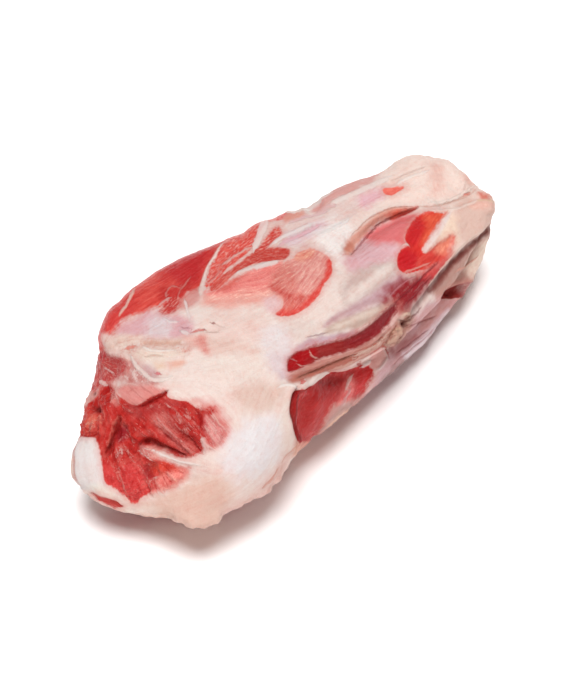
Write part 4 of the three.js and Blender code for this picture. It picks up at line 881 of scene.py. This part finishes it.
def rounded(points, closed):
    """Points along a smooth curve through the given ones."""
    p = np.array(points, float)
    steps = np.linspace(0, 1, CURVE_STEPS, endpoint=False)[:, None]
    if closed:
        before, after, later = np.roll(p, 1, 0), np.roll(p, -1, 0), np.roll(p, -2, 0)
    else:
        before = np.vstack([p[:1], p[:-1]])
        after = np.vstack([p[1:], p[-1:]])
        later = np.vstack([p[2:], p[-1:], p[-1:]])
    curve = []
    for a, b, c, d in zip(before, p, after, later):
        bend = 2 * a - 5 * b + 4 * c - d + steps * (3 * b - a - 3 * c + d)
        curve.append(b + 0.5 * steps * (c - a + steps * bend))
    curve = np.vstack(curve)
    return np.vstack([curve, curve[:1]]) if closed else np.vstack([curve[:-CURVE_STEPS], p[-1:]])


def from_path(places, path):
    """Each place's distance from a path, how far along the path it is, from 0 to 1, and its side."""
    best = np.full(len(places), NOWHERE)
    share = np.zeros(len(places))
    side = np.ones(len(places))
    count = len(path) - 1
    for i in range(count):
        a, run = path[i], path[i + 1] - path[i]
        gone = places - a
        t = np.clip(gone @ run / max(run @ run, TINY), 0, 1)
        gap = np.hypot(*(gone - t[:, None] * run).T)
        nearer = gap < best
        best[nearer] = gap[nearer]
        share[nearer] = ((i + t) / count)[nearer]
        side[nearer] = np.where(run[0] * gone[:, 1] > run[1] * gone[:, 0], 1, -1)[nearer]
    return best, share, side


def lie_along(places, lines):
    """The way that lies along the lines near each place, as a unit vector."""
    turn = np.zeros((len(places), 2))
    for points in lines.values():
        path = rounded(points, False)
        gap, share, _ = from_path(places, path)
        run = np.diff(path, axis=0)
        angle = 2 * np.arctan2(run[:, 1], run[:, 0])
        which = np.minimum((share * len(run)).astype(int), len(run) - 1)
        pull = np.stack([np.cos(angle), np.sin(angle)], axis=1)[which]
        turn += pull / (gap + GUIDE_BLUR)[:, None] ** 3
    half = np.arctan2(turn[:, 1], turn[:, 0]) / 2
    return np.stack([np.cos(half), np.sin(half)], axis=1)


def unit(vectors):
    return vectors / np.maximum(np.linalg.norm(vectors, axis=1, keepdims=True), TINY)


def within(places, outline, reach):
    """How deep each place lies inside an outline, negative outside it, as far as the reach."""
    path = rounded(outline, True)
    depth = np.full(len(places), -float(reach))
    near = np.all((places > path.min(0) - reach) & (places < path.max(0) + reach), axis=1)
    some = places[near]
    gap, _, _ = from_path(some, path)
    inside = np.zeros(len(some), bool)
    for a, b in zip(path[:-1], path[1:]):
        spans = (a[1] > some[:, 1]) != (b[1] > some[:, 1])
        drop = b[1] - a[1] if b[1] != a[1] else TINY
        inside ^= spans & (some[:, 0] < a[0] + (some[:, 1] - a[1]) * (b[0] - a[0]) / drop)
    depth[near] = np.where(inside, gap, -np.minimum(gap, reach))
    return depth


def lumps(places, size, octaves=3):
    """Smooth random lumps of about that size, from -1 to 1."""
    return np.array([noise.fractal(tuple(p), 1.0, 2.0, octaves) for p in places / size])


def unroll(patches):
    """Patches or lines by station and clock angle, with their angles turned into lengths."""
    return {name: (*words, [(x, ROUND_MM * clock) for x, clock in places])
            for name, (*words, places) in patches.items()}


# The fine skin


def fine_skin(node):
    """A finer, rounder copy of the solid's skin."""
    bm = bmesh.new()
    bm.from_mesh(node.data)
    bmesh.ops.remove_doubles(bm, verts=bm.verts, dist=SAME_PLACE)
    bmesh.ops.join_triangles(bm, faces=bm.faces, angle_face_threshold=math.pi,
                             angle_shape_threshold=math.pi)
    coarse = bpy.data.meshes.new("coarse_skin")
    bm.to_mesh(coarse)
    bm.free()
    coarse.materials.clear()
    holder = bpy.data.objects.new("coarse_skin", coarse)
    bpy.context.scene.collection.objects.link(holder)
    rounding = holder.modifiers.new("rounding", "SUBSURF")
    rounding.levels = rounding.render_levels = SKIN_LEVELS
    ready = holder.evaluated_get(bpy.context.evaluated_depsgraph_get())
    fine = bpy.data.meshes.new_from_object(ready)
    bpy.data.objects.remove(holder)
    bpy.data.meshes.remove(coarse)
    fine.name = "lamb_shank"
    return fine


class Chart:
    """Paints laid out over places on a plane, such as the photograph's frame or the unrolled skin."""

    def __init__(self, places, per_mm, share, wander):
        count = len(places)
        self.places = places
        self.per_mm = per_mm
        self.share = share
        self.wander = wander
        self.reach = REACH * per_mm
        self.rise = np.zeros(count)
        self.deep = np.zeros(count)
        self.cover_tone = np.tile(FAT, (count, 1))
        self.streak = np.full(count, FAT_STREAK)
        self.lean_tone = np.tile(LEAN_RED, (count, 1))
        self.lean_level = np.full(count, -float(REACH))
        self.soft = np.full(count, LEAN_SOFT)
        self.speck = np.zeros(count)
        self.torn = np.zeros(count)

    def depth(self, outline):
        return within(self.places, outline, self.reach)

    def patch(self, outline, soft):
        """How much of a soft-edged patch there is at each place."""
        return ease(self.depth(outline) + EDGE_WANDER * soft * self.wander, -soft, soft)

    def paint_cover(self, patches):
        for tone, soft, streak, outline in patches.values():
            mask = self.patch(outline, soft)
            self.cover_tone = blend(self.cover_tone, paint(tone), mask)
            self.streak += (streak - self.streak) * mask

    def paint_lean(self, patches):
        for tone, soft, sink, speck, outline in patches.values():
            level = self.depth(outline) / self.per_mm
            mine = ease(level, -LEAN_SPREAD, 0) * (level > self.lean_level - LEAN_OVERLAP)
            self.lean_tone = blend(self.lean_tone, paint(tone), mine)
            self.speck += (speck - self.speck) * mine
            self.soft += (soft - self.soft) * mine
            self.lean_level = np.maximum(self.lean_level, level)
            self.rise -= sink * ease(level, *SINK_EDGE)

    def paint_lean_tones(self, patches):
        for tone, soft, outline in patches.values():
            self.lean_tone = blend(self.lean_tone, paint(tone), self.patch(outline, soft))

    def tear(self, outline):
        self.torn = ease(self.depth(outline) / self.per_mm, *TORN_EDGE)

    def soften_edges(self, lines):
        for softness, reach, points in lines.values():
            gap, _, _ = from_path(self.places, rounded(points, False))
            self.soft = np.maximum(self.soft, softness * np.exp(-(gap / reach) ** 2))

    # Sinks the clefts and darkens them with painted shade
    def sink_shaded_clefts(self, lines):
        for half_width, darkness, depth, points in lines.values():
            gap, share, _ = from_path(self.places, rounded(points, False))
            mask = ease(ends_off(share, BLUNT_ENDS) - gap / half_width, *DEEP_EDGE)
            self.deep = np.maximum(self.deep, darkness * mask)
            self.rise -= depth * mask

    def raise_ridges(self, lines):
        for half_width, height, points in lines.values():
            gap, share, _ = from_path(self.places, rounded(points, False))
            self.rise += height * ends_off(share) * np.exp(-(gap / half_width) ** 2)

    def lay_lines(self, lines):
        """Beside its nearest line, each place's offset to the side, its distance and the line's half
        width there, in millimetres, and the line's tone."""
        lie = np.tile([FAR_OFF, FAR_OFF, 0.0], (len(self.places), 1))
        tones = np.tile(FAT, (len(self.places), 1))
        for tone, width, points in lines.values():
            path = rounded(points, False)
            box = (self.places > path.min(0) - self.reach) & (self.places < path.max(0) + self.reach)
            near = np.flatnonzero(np.all(box, axis=1) & (self.share > LINE_SHARE))
            gap, share, side = from_path(self.places[near], path)
            half = width / 2 * ends_off(share, BLUNT_ENDS)
            mine = np.stack([side * gap, gap, half], axis=1) / self.per_mm
            nearer = mine[:, 1] - mine[:, 2] < lie[near, 1] - lie[near, 2]
            lie[near[nearer]] = mine[nearer]
            tones[near[nearer]] = paint(tone)
        return lie, tones


class Skin:
    """The fine skin's points, and the charts that they are painted from."""

    def __init__(self, mesh):
        self.mesh = mesh
        self.place = self.read("co") / MM
        self.out = self.read("normal")
        sight = self.place - EYE
        depth = -(sight @ BACK)
        pixel = np.stack([
            FRAME_WIDTH / 2 + FOCAL_PIXELS * (sight @ RIGHT) / depth,
            FRAME_HEIGHT / 2 - FOCAL_PIXELS * (sight @ UP) / depth,
        ], axis=1)
        facing = -np.sum(self.out * sight, axis=1) / np.linalg.norm(sight, axis=1)
        self.seen = ease(facing, *PAINT_FACING)
        self.brim = ease(facing, *RELIEF_FACING)
        self.faces = facing > LINE_FACING
        wander = lumps(self.place, WANDER_SIZE)
        self.front = Chart(pixel, PIXELS_PER_MM, self.seen, wander)
        self.round = Chart(self.unrolled(), 1.0, 1 - self.seen, wander)
        self.way = self.fibre_way()

    def read(self, what):
        values = np.empty(3 * len(self.mesh.vertices))
        self.mesh.vertices.foreach_get(what, values)
        return values.reshape(-1, 3)

    def unrolled(self):
        """Each point's station, and its clock angle turned into a length round the skin."""
        x, y, z = self.place.T
        cuts = np.linspace(x.min(), x.max(), SLICES + 1)
        which = np.clip(np.digitize(x, cuts) - 1, 0, SLICES - 1)
        stations = (cuts[:-1] + cuts[1:]) / 2
        off = []
        for v in (y, z):
            middles = [(v[which == i].min() + v[which == i].max()) / 2 for i in range(SLICES)]
            off.append(v - np.interp(x, stations, middles))
        clock = np.degrees(np.arctan2(off[1], off[0]))
        return np.stack([x, ROUND_MM * ((clock - CLOCK_START) % 360 + CLOCK_START)], axis=1)

    def fibre_way(self):
        """The way that the fibres lie: along their lines where the photograph sees, else along the shank."""
        lie = lie_along(self.front.places, FIBRES)
        flat = lie[:, :1] * RIGHT - lie[:, 1:] * UP
        slope = np.sum(flat * self.out, axis=1) / np.maximum(self.out @ BACK, STEEPEST)
        way = unit(flat - slope[:, None] * BACK)
        along = unit(np.array([1.0, 0.0, 0.0]) - self.out[:, :1] * self.out)
        way *= np.where(np.sum(way * along, axis=1) < 0, -1, 1)[:, None]
        return unit(along + (way - along) * self.seen[:, None])

    def mixed(self, name):
        """What the photograph's chart says where it sees, and the unrolled skin's elsewhere."""
        front, round_ = getattr(self.front, name), getattr(self.round, name)
        seen = self.seen if front.ndim == 1 else self.seen[:, None]
        return round_ + (front - round_) * seen

    def keep(self, name, values):
        if values.ndim == 1:
            self.mesh.attributes.new(name, "FLOAT", "POINT").data.foreach_set("value", values)
        else:
            layer = self.mesh.attributes.new(name, "FLOAT_VECTOR", "POINT")
            layer.data.foreach_set("vector", values.ravel())

    def keep_lines(self, name, height, front_lines, round_lines):
        front_lie, front_tone = self.front.lay_lines(front_lines)
        self.front.rise += height * ease(front_lie[:, 2] - front_lie[:, 1], *LINE_EDGE)
        round_lie, round_tone = self.round.lay_lines(round_lines)
        faces = self.faces[:, None]
        self.keep(name + "_lie", np.where(faces, front_lie, round_lie))
        self.keep(name + "_tone", np.where(faces, front_tone, round_tone))

    def combed(self, size):
        """Lumps of about that size, drawn out along the fibres."""
        steps = [COMB_STEP * size * k * self.way for k in range(-2, 3)]
        return sum(lumps(self.place + step, size, 2) for step in steps) / COMB_EVENNESS

    def shape(self):
        """Moves each point out or in by the relief, and none below the floor."""
        rise = self.round.rise + (self.front.rise - self.round.rise) * self.brim
        rise += (FIBRE_HEIGHT + TORN_HEIGHT * self.mixed("torn")) * self.combed(FIBRE_SIZE)
        for reach, height, size, points in KNOBBLY.values():
            gap, _, _ = from_path(self.front.places, rounded(points, False))
            near = gap < 2 * reach
            share = height * np.exp(-(gap[near] / reach) ** 2) * self.brim[near]
            rise[near] += share * lumps(self.place[near], size, 2)
        rise += KNUCKLE_HEIGHT * lumps(self.place, KNUCKLE_SIZE) * ease(self.place[:, 0], *KNUCKLE_START)
        rise += SWELL_HEIGHT * lumps(self.place, SWELL_SIZE) + PIT_HEIGHT * lumps(self.place, PIT_SIZE, 2)
        moved = self.place + self.out * rise[:, None]
        moved[:, 2] = np.maximum(moved[:, 2], 0)
        self.mesh.vertices.foreach_set("co", (moved * MM).ravel())
        self.mesh.update()


# The finish


class Shade:
    """A value in a material's nodes. An expression on it adds the Math nodes that it needs."""

    def __init__(self, tree, socket=None):
        self.tree = tree
        self.socket = socket

    def node(self, kind, settings=None, inputs=None, output=0):
        """Adds a node of a kind, with its settings and then its sockets' values or links."""
        made = self.tree.nodes.new(kind)
        for name, value in (settings or {}).items():
            setattr(made, name, value)
        for name, value in (inputs or {}).items():
            if isinstance(value, Shade):
                self.tree.links.new(value.socket, made.inputs[name])
            else:
                made.inputs[name].default_value = value
        return made if output is None else Shade(self.tree, made.outputs[output])

    def sum(self, operation, a, b):
        return self.node("ShaderNodeMath", {"operation": operation}, {0: a, 1: b})

    def __add__(self, other):
        return self.sum("ADD", self, other)

    def __sub__(self, other):
        return self.sum("SUBTRACT", self, other)

    def __rsub__(self, other):
        return self.sum("SUBTRACT", other, self)

    def __mul__(self, other):
        return self.sum("MULTIPLY", self, other)

    __radd__ = __add__
    __rmul__ = __mul__

    def painted(self, name, output="Fac"):
        return self.node("ShaderNodeAttribute", {"attribute_name": name}, output=output)

    def drawn(self, name, ragged):
        """The mask of the lines whose lie was painted under that name, with ragged edges."""
        parts = self.node("ShaderNodeSeparateXYZ", None, {0: self.painted(name, "Vector")}, None).outputs
        side, off, half = [Shade(self.tree, part) for part in parts]
        aside = self.node("ShaderNodeMath", {"operation": "ABSOLUTE"}, {0: side + ragged})
        near = (half + RAGGED_REACH - off).between(0, RAGGED_FADE)
        return (half - aside).between(-LINE_BLUR, LINE_BLUR) * near

    def between(self, low, high):
        """0 below low, 1 above high and a smooth step between them."""
        return self.node("ShaderNodeMapRange", {"interpolation_type": "SMOOTHSTEP"},
                         {"Value": self, "From Min": low, "From Max": high})

    def grain(self, where, size, detail=2.0):
        return self.node("ShaderNodeTexNoise", None, {"Vector": where, "Scale": 1 / size, "Detail": detail})

    def combed(self, where, size, steps):
        """Grain of that size, drawn out along the way that the fibres lie."""
        way = self.painted("fibre_way", "Vector")
        total = 0
        for i in range(steps):
            step = GRAIN_STEP * size * (i - (steps - 1) / 2)
            place = self.node("ShaderNodeVectorMath", {"operation": "MULTIPLY_ADD"},
                              {0: way, 1: (step, step, step), 2: where})
            total = total + self.grain(place, size)
        return (total - 0.5 * steps) * (GRAIN_CONTRAST / steps) + 0.5

    def mixed(self, share, a, b, way="MIX"):
        return self.node("ShaderNodeMix", {"data_type": "RGBA", "blend_type": way, "clamp_result": False},
                         {0: share, 6: a, 7: b}, output=2)

    def tinted(self, share, tone, tint):
        return self.mixed(share, tone, (*tint, 1.0), "MULTIPLY")


def rgba(tone):
    return (*[float(c) for c in tone], 1.0)


def meat_layers(s):
    """What is painted on the skin and the random grain over it, by name."""
    where = s.node("ShaderNodeTexCoord", output="Object")
    layers = {name: s.painted(name) for name in ("lean_level", "soft", "streak", "deep", "speck", "torn")}
    for name, (size, detail) in GRAINS.items():
        layers[name] = s.grain(where, size * MM, detail)
    for name, (size, steps) in COMBED_GRAINS.items():
        layers[name] = s.combed(where, size * MM, steps)
    layers = SimpleNamespace(**layers)
    layers.wander = layers.wander - 0.5
    layers.ragged = layers.ragged - 0.5
    layers.frayed = layers.threads - 0.5
    layers.tufty = (layers.streak - 1).between(0, 0.5)
    return layers


def fat_tone(s, m):
    """Fat, silverskin and membrane, with a red halo round the lean meat."""
    fat = s.painted("cover_tone", "Color")
    fat = s.tinted(m.blotches.between(0.42, 0.72) * 0.5, fat, FAT_TINTS["blotch"])
    fat = s.tinted(m.fibres.between(0.48, 0.72) * m.streak, fat, FAT_TINTS["light_streak"])
    fat = s.tinted((1 - m.fibres).between(0.5, 0.74) * m.streak, fat, FAT_TINTS["dark_streak"])
    fat = s.tinted(m.threads.between(0.5, 0.75) * (0.2 + m.streak * 0.6), fat, FAT_TINTS["thread"])
    fat = s.tinted(m.veils.between(0.5, 0.7) * (0.3 + m.streak * 0.4), fat, FAT_TINTS["dark_veil"])
    fat = s.tinted((1 - m.veils).between(0.52, 0.72) * (0.3 + m.streak * 0.4), fat, FAT_TINTS["light_veil"])
    fat = s.mixed(m.tufts.between(0.5, 0.66) * m.tufty * 0.75, fat, rgba(TUFT_WHITE))
    fat = s.tinted((1 - m.tufts).between(0.52, 0.7) * m.tufty, fat, FAT_TINTS["tuft_gap"])
    fat = s.tinted(m.pores.between(0.5, 0.7) * 0.5, fat, FAT_TINTS["pore"])
    fat = s.tinted(m.mottle.between(0.5, 0.75) * 0.45, fat, FAT_TINTS["mottle"])
    halo = (m.lean_level + m.wander * 2 + m.ragged * 2 + m.frayed * 2).between(-2.6, 0.2)
    return s.mixed(halo * 0.4, fat, rgba(HALO_PINK))


def lean_tone(s, m):
    """Lean meat with its grain, and the pale and dark fibres of the torn cut."""
    lean = s.painted("lean_tone", "Color")
    lean = s.tinted(m.fibres.between(0.49, 0.68), lean, LEAN_TINTS["light_fibre"])
    lean = s.tinted((1 - m.fibres).between(0.5, 0.7), lean, LEAN_TINTS["dark_fibre"])
    lean = s.tinted(m.mottle.between(0.5, 0.75) * 0.6, lean, LEAN_TINTS["mottle"])
    lean = s.tinted(m.threads.between(0.5, 0.75), lean, LEAN_TINTS["light_thread"])
    lean = s.tinted((1 - m.threads).between(0.5, 0.75) * 0.7, lean, LEAN_TINTS["dark_thread"])
    lean = s.tinted(m.grains.between(0.5, 0.64) * m.speck, lean, LEAN_TINTS["light_speck"])
    lean = s.tinted((1 - m.grains).between(0.5, 0.66) * m.speck, lean, LEAN_TINTS["dark_speck"])
    lean = s.mixed(m.fibres.between(0.56, 0.76) * m.torn * 0.5, lean, rgba(TORN_PALE))
    lean = s.tinted((1 - m.fibres).between(0.54, 0.72) * m.torn, lean, LEAN_TINTS["torn_gap"])
    lean = s.tinted((m.wander + 0.5).between(0.5, 0.64) * m.torn * 0.8, lean, LEAN_TINTS["torn_hollow"])
    lean = s.mixed((0.5 - m.wander).between(0.52, 0.68) * m.torn * 0.35, lean, rgba(TORN_PINK))
    lean = s.mixed(m.flecks.between(0.5, 0.68) * m.speck, lean, rgba(FLECK_PALE))
    return s.mixed(m.glints.between(0.64, 0.8) * m.torn * 0.4, lean, rgba(GLINT_PALE))


def lean_share(s, m):
    """Where the lean meat shows, with a frayed edge."""
    feather = 0.15 + m.soft * 1.2
    edge = m.lean_level + m.wander + (m.ragged * 1.2 + m.frayed * 1.8) * feather
    return s.node("ShaderNodeMapRange", {"interpolation_type": "SMOOTHSTEP"},
                  {"Value": edge, "From Min": 0 - m.soft, "From Max": m.soft})


def meat_finish():
    material = bpy.data.materials.new("raw_meat")
    material.use_nodes = True
    tree = material.node_tree
    tree.nodes.clear()
    s = Shade(tree)
    m = meat_layers(s)
    lean = lean_share(s, m)
    unevenness = m.ragged * 0.7 + m.wander * 0.5 + m.frayed * 0.8
    strands = s.drawn("strand_lie", unevenness) * (0.3 + 0.4 * m.mottle + 0.9 * m.threads)
    strands = strands * (1 - m.torn * 0.8 * (1 - m.grains.between(0.42, 0.6)))
    nicks = s.drawn("nick_lie", unevenness) * (0.25 + 0.4 * m.mottle + 0.8 * m.threads)
    meat = s.mixed(lean, fat_tone(s, m), lean_tone(s, m))
    meat = s.mixed(strands * LINE_STRENGTH, meat, s.painted("strand_tone", "Color"))
    meat = s.mixed(nicks * LINE_STRENGTH, meat, s.painted("nick_tone", "Color"))
    # Painted shade: clefts and holes darkened towards the cleft shade tone
    meat = s.mixed(m.deep * (0.6 + 0.8 * m.fibres), meat, rgba(CLEFT_SHADE))

    rough = 0.42 - 0.14 * lean + 0.2 * (m.blotches - 0.5) + 0.5 * m.deep
    height = 0.8 * m.mottle + (0.5 + 0.7 * m.torn) * m.fibres + 0.3 * m.threads
    height = height + 1.2 * m.tufts * m.tufty + 0.5 * (strands - nicks)
    bump = s.node("ShaderNodeBump", None, {
        "Strength": BUMP_STRENGTH, "Distance": BUMP_DEPTH * MM, "Height": height})
    surface = s.node("ShaderNodeBsdfPrincipled", None, {
        "Base Color": meat, "Roughness": rough, "Normal": bump, "Specular IOR Level": WET_SPECULAR,
        "Subsurface Weight": GLOW_WEIGHT, "Subsurface Radius": GLOW_RADIUS,
        "Subsurface Scale": GLOW_DEPTH * MM,
    })
    s.node("ShaderNodeOutputMaterial", None, {"Surface": surface}, None)
    return material


def make_shank():
    skin = Skin(fine_skin(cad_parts["shank"]))
    front, round_ = skin.front, skin.round
    front.paint_cover(COVER)
    front.paint_lean(LEAN)
    front.tear(LEAN["torn_cut"][-1])
    front.paint_lean_tones(LEAN_TONES)
    front.soften_edges(SOFT_EDGES)
    front.raise_ridges(RIDGES)
    front.sink_shaded_clefts(SHADED_CLEFTS)
    round_.paint_cover(unroll(ROUND_COVER))
    round_.paint_lean(unroll(ROUND_LEAN))
    round_.raise_ridges(unroll(ROUND_RIDGES))
    for name in ("cover_tone", "lean_tone", "lean_level", "soft", "streak", "deep", "speck", "torn"):
        skin.keep(name, skin.mixed(name))
    skin.keep("fibre_way", skin.way)
    skin.keep_lines("strand", LINE_HEIGHT, STRANDS, unroll(ROUND_STRANDS))
    skin.keep_lines("nick", -LINE_HEIGHT, NICKS, unroll(ROUND_NICKS))
    skin.shape()
    skin.mesh.materials.append(meat_finish())
    skin.mesh.polygons.foreach_set("use_smooth", np.ones(len(skin.mesh.polygons), bool))
    shank = bpy.data.objects.new("lamb_shank", skin.mesh)
    bpy.context.scene.collection.objects.link(shank)
    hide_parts("shank")
    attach(shank, "root")


# The stage


def make_floor():
    bm = bmesh.new()
    bmesh.ops.create_grid(bm, x_segments=1, y_segments=1, size=FLOOR_REACH)
    mesh = bpy.data.meshes.new("floor")
    bm.to_mesh(mesh)
    bm.free()
    material = bpy.data.materials.new("floor_paper")
    material.use_nodes = True
    surface = material.node_tree.nodes["Principled BSDF"]
    surface.inputs["Base Color"].default_value = FLOOR_WHITE
    surface.inputs["Roughness"].default_value = FLOOR_ROUGHNESS
    surface.inputs["Specular IOR Level"].default_value = 0.0
    mesh.materials.append(material)
    floor = bpy.data.objects.new("floor", mesh)
    bpy.context.scene.collection.objects.link(floor)


def soft_light(name, towards, power):
    """A wide, low softbox that stands that way from the shank and faces it."""
    lamp = bpy.data.lights.new(name, "AREA")
    lamp.shape = "RECTANGLE"
    lamp.size, lamp.size_y = SOFTBOX_WIDTH, SOFTBOX_HEIGHT
    lamp.energy = power
    lamp.color = SOFTBOX_COLOUR
    holder = bpy.data.objects.new(name, lamp)
    way = towards.normalized()
    holder.location = way * SOFTBOX_DISTANCE + Vector((0, 0, SOFTBOX_AIM))
    holder.rotation_euler = way.to_track_quat("Z", "Y").to_euler()
    bpy.context.scene.collection.objects.link(holder)


def make_lights():
    world = bpy.data.worlds.new("studio")
    world.use_nodes = True
    surroundings = world.node_tree.nodes["Background"]
    surroundings.inputs["Color"].default_value = STUDIO_COLOUR
    surroundings.inputs["Strength"].default_value = STUDIO_STRENGTH
    bpy.context.scene.world = world
    up = Vector((0, 0, 1))
    away = Vector((-BACK[0], -BACK[1], 0)).normalized()
    right = Vector(RIGHT)
    for name, (aside, power) in SOFTBOXES.items():
        soft_light(name, SOFTBOX_RISE * up - away + aside * right, power)
    lamp = bpy.data.lights.new("overhead_light", "SUN")
    lamp.energy = OVERHEAD_STRENGTH
    lamp.angle = OVERHEAD_SPREAD
    overhead = bpy.data.objects.new("overhead_light", lamp)
    way = up - OVERHEAD_NEARER * away - OVERHEAD_LEFT * right
    overhead.rotation_euler = way.to_track_quat("Z", "Y").to_euler()
    bpy.context.scene.collection.objects.link(overhead)
    bpy.context.scene.view_settings.view_transform = "Standard"


def make_camera():
    lens = bpy.data.cameras.new("camera")
    lens.lens = LENS
    lens.sensor_width = SENSOR
    camera = bpy.data.objects.new("camera", lens)
    camera.location = Vector(EYE * MM)
    camera.rotation_euler = Matrix((RIGHT, UP, BACK)).transposed().to_euler()
    bpy.context.scene.collection.objects.link(camera)
    bpy.context.scene.camera = camera


make_shank()
make_floor()
make_lights()
make_camera()
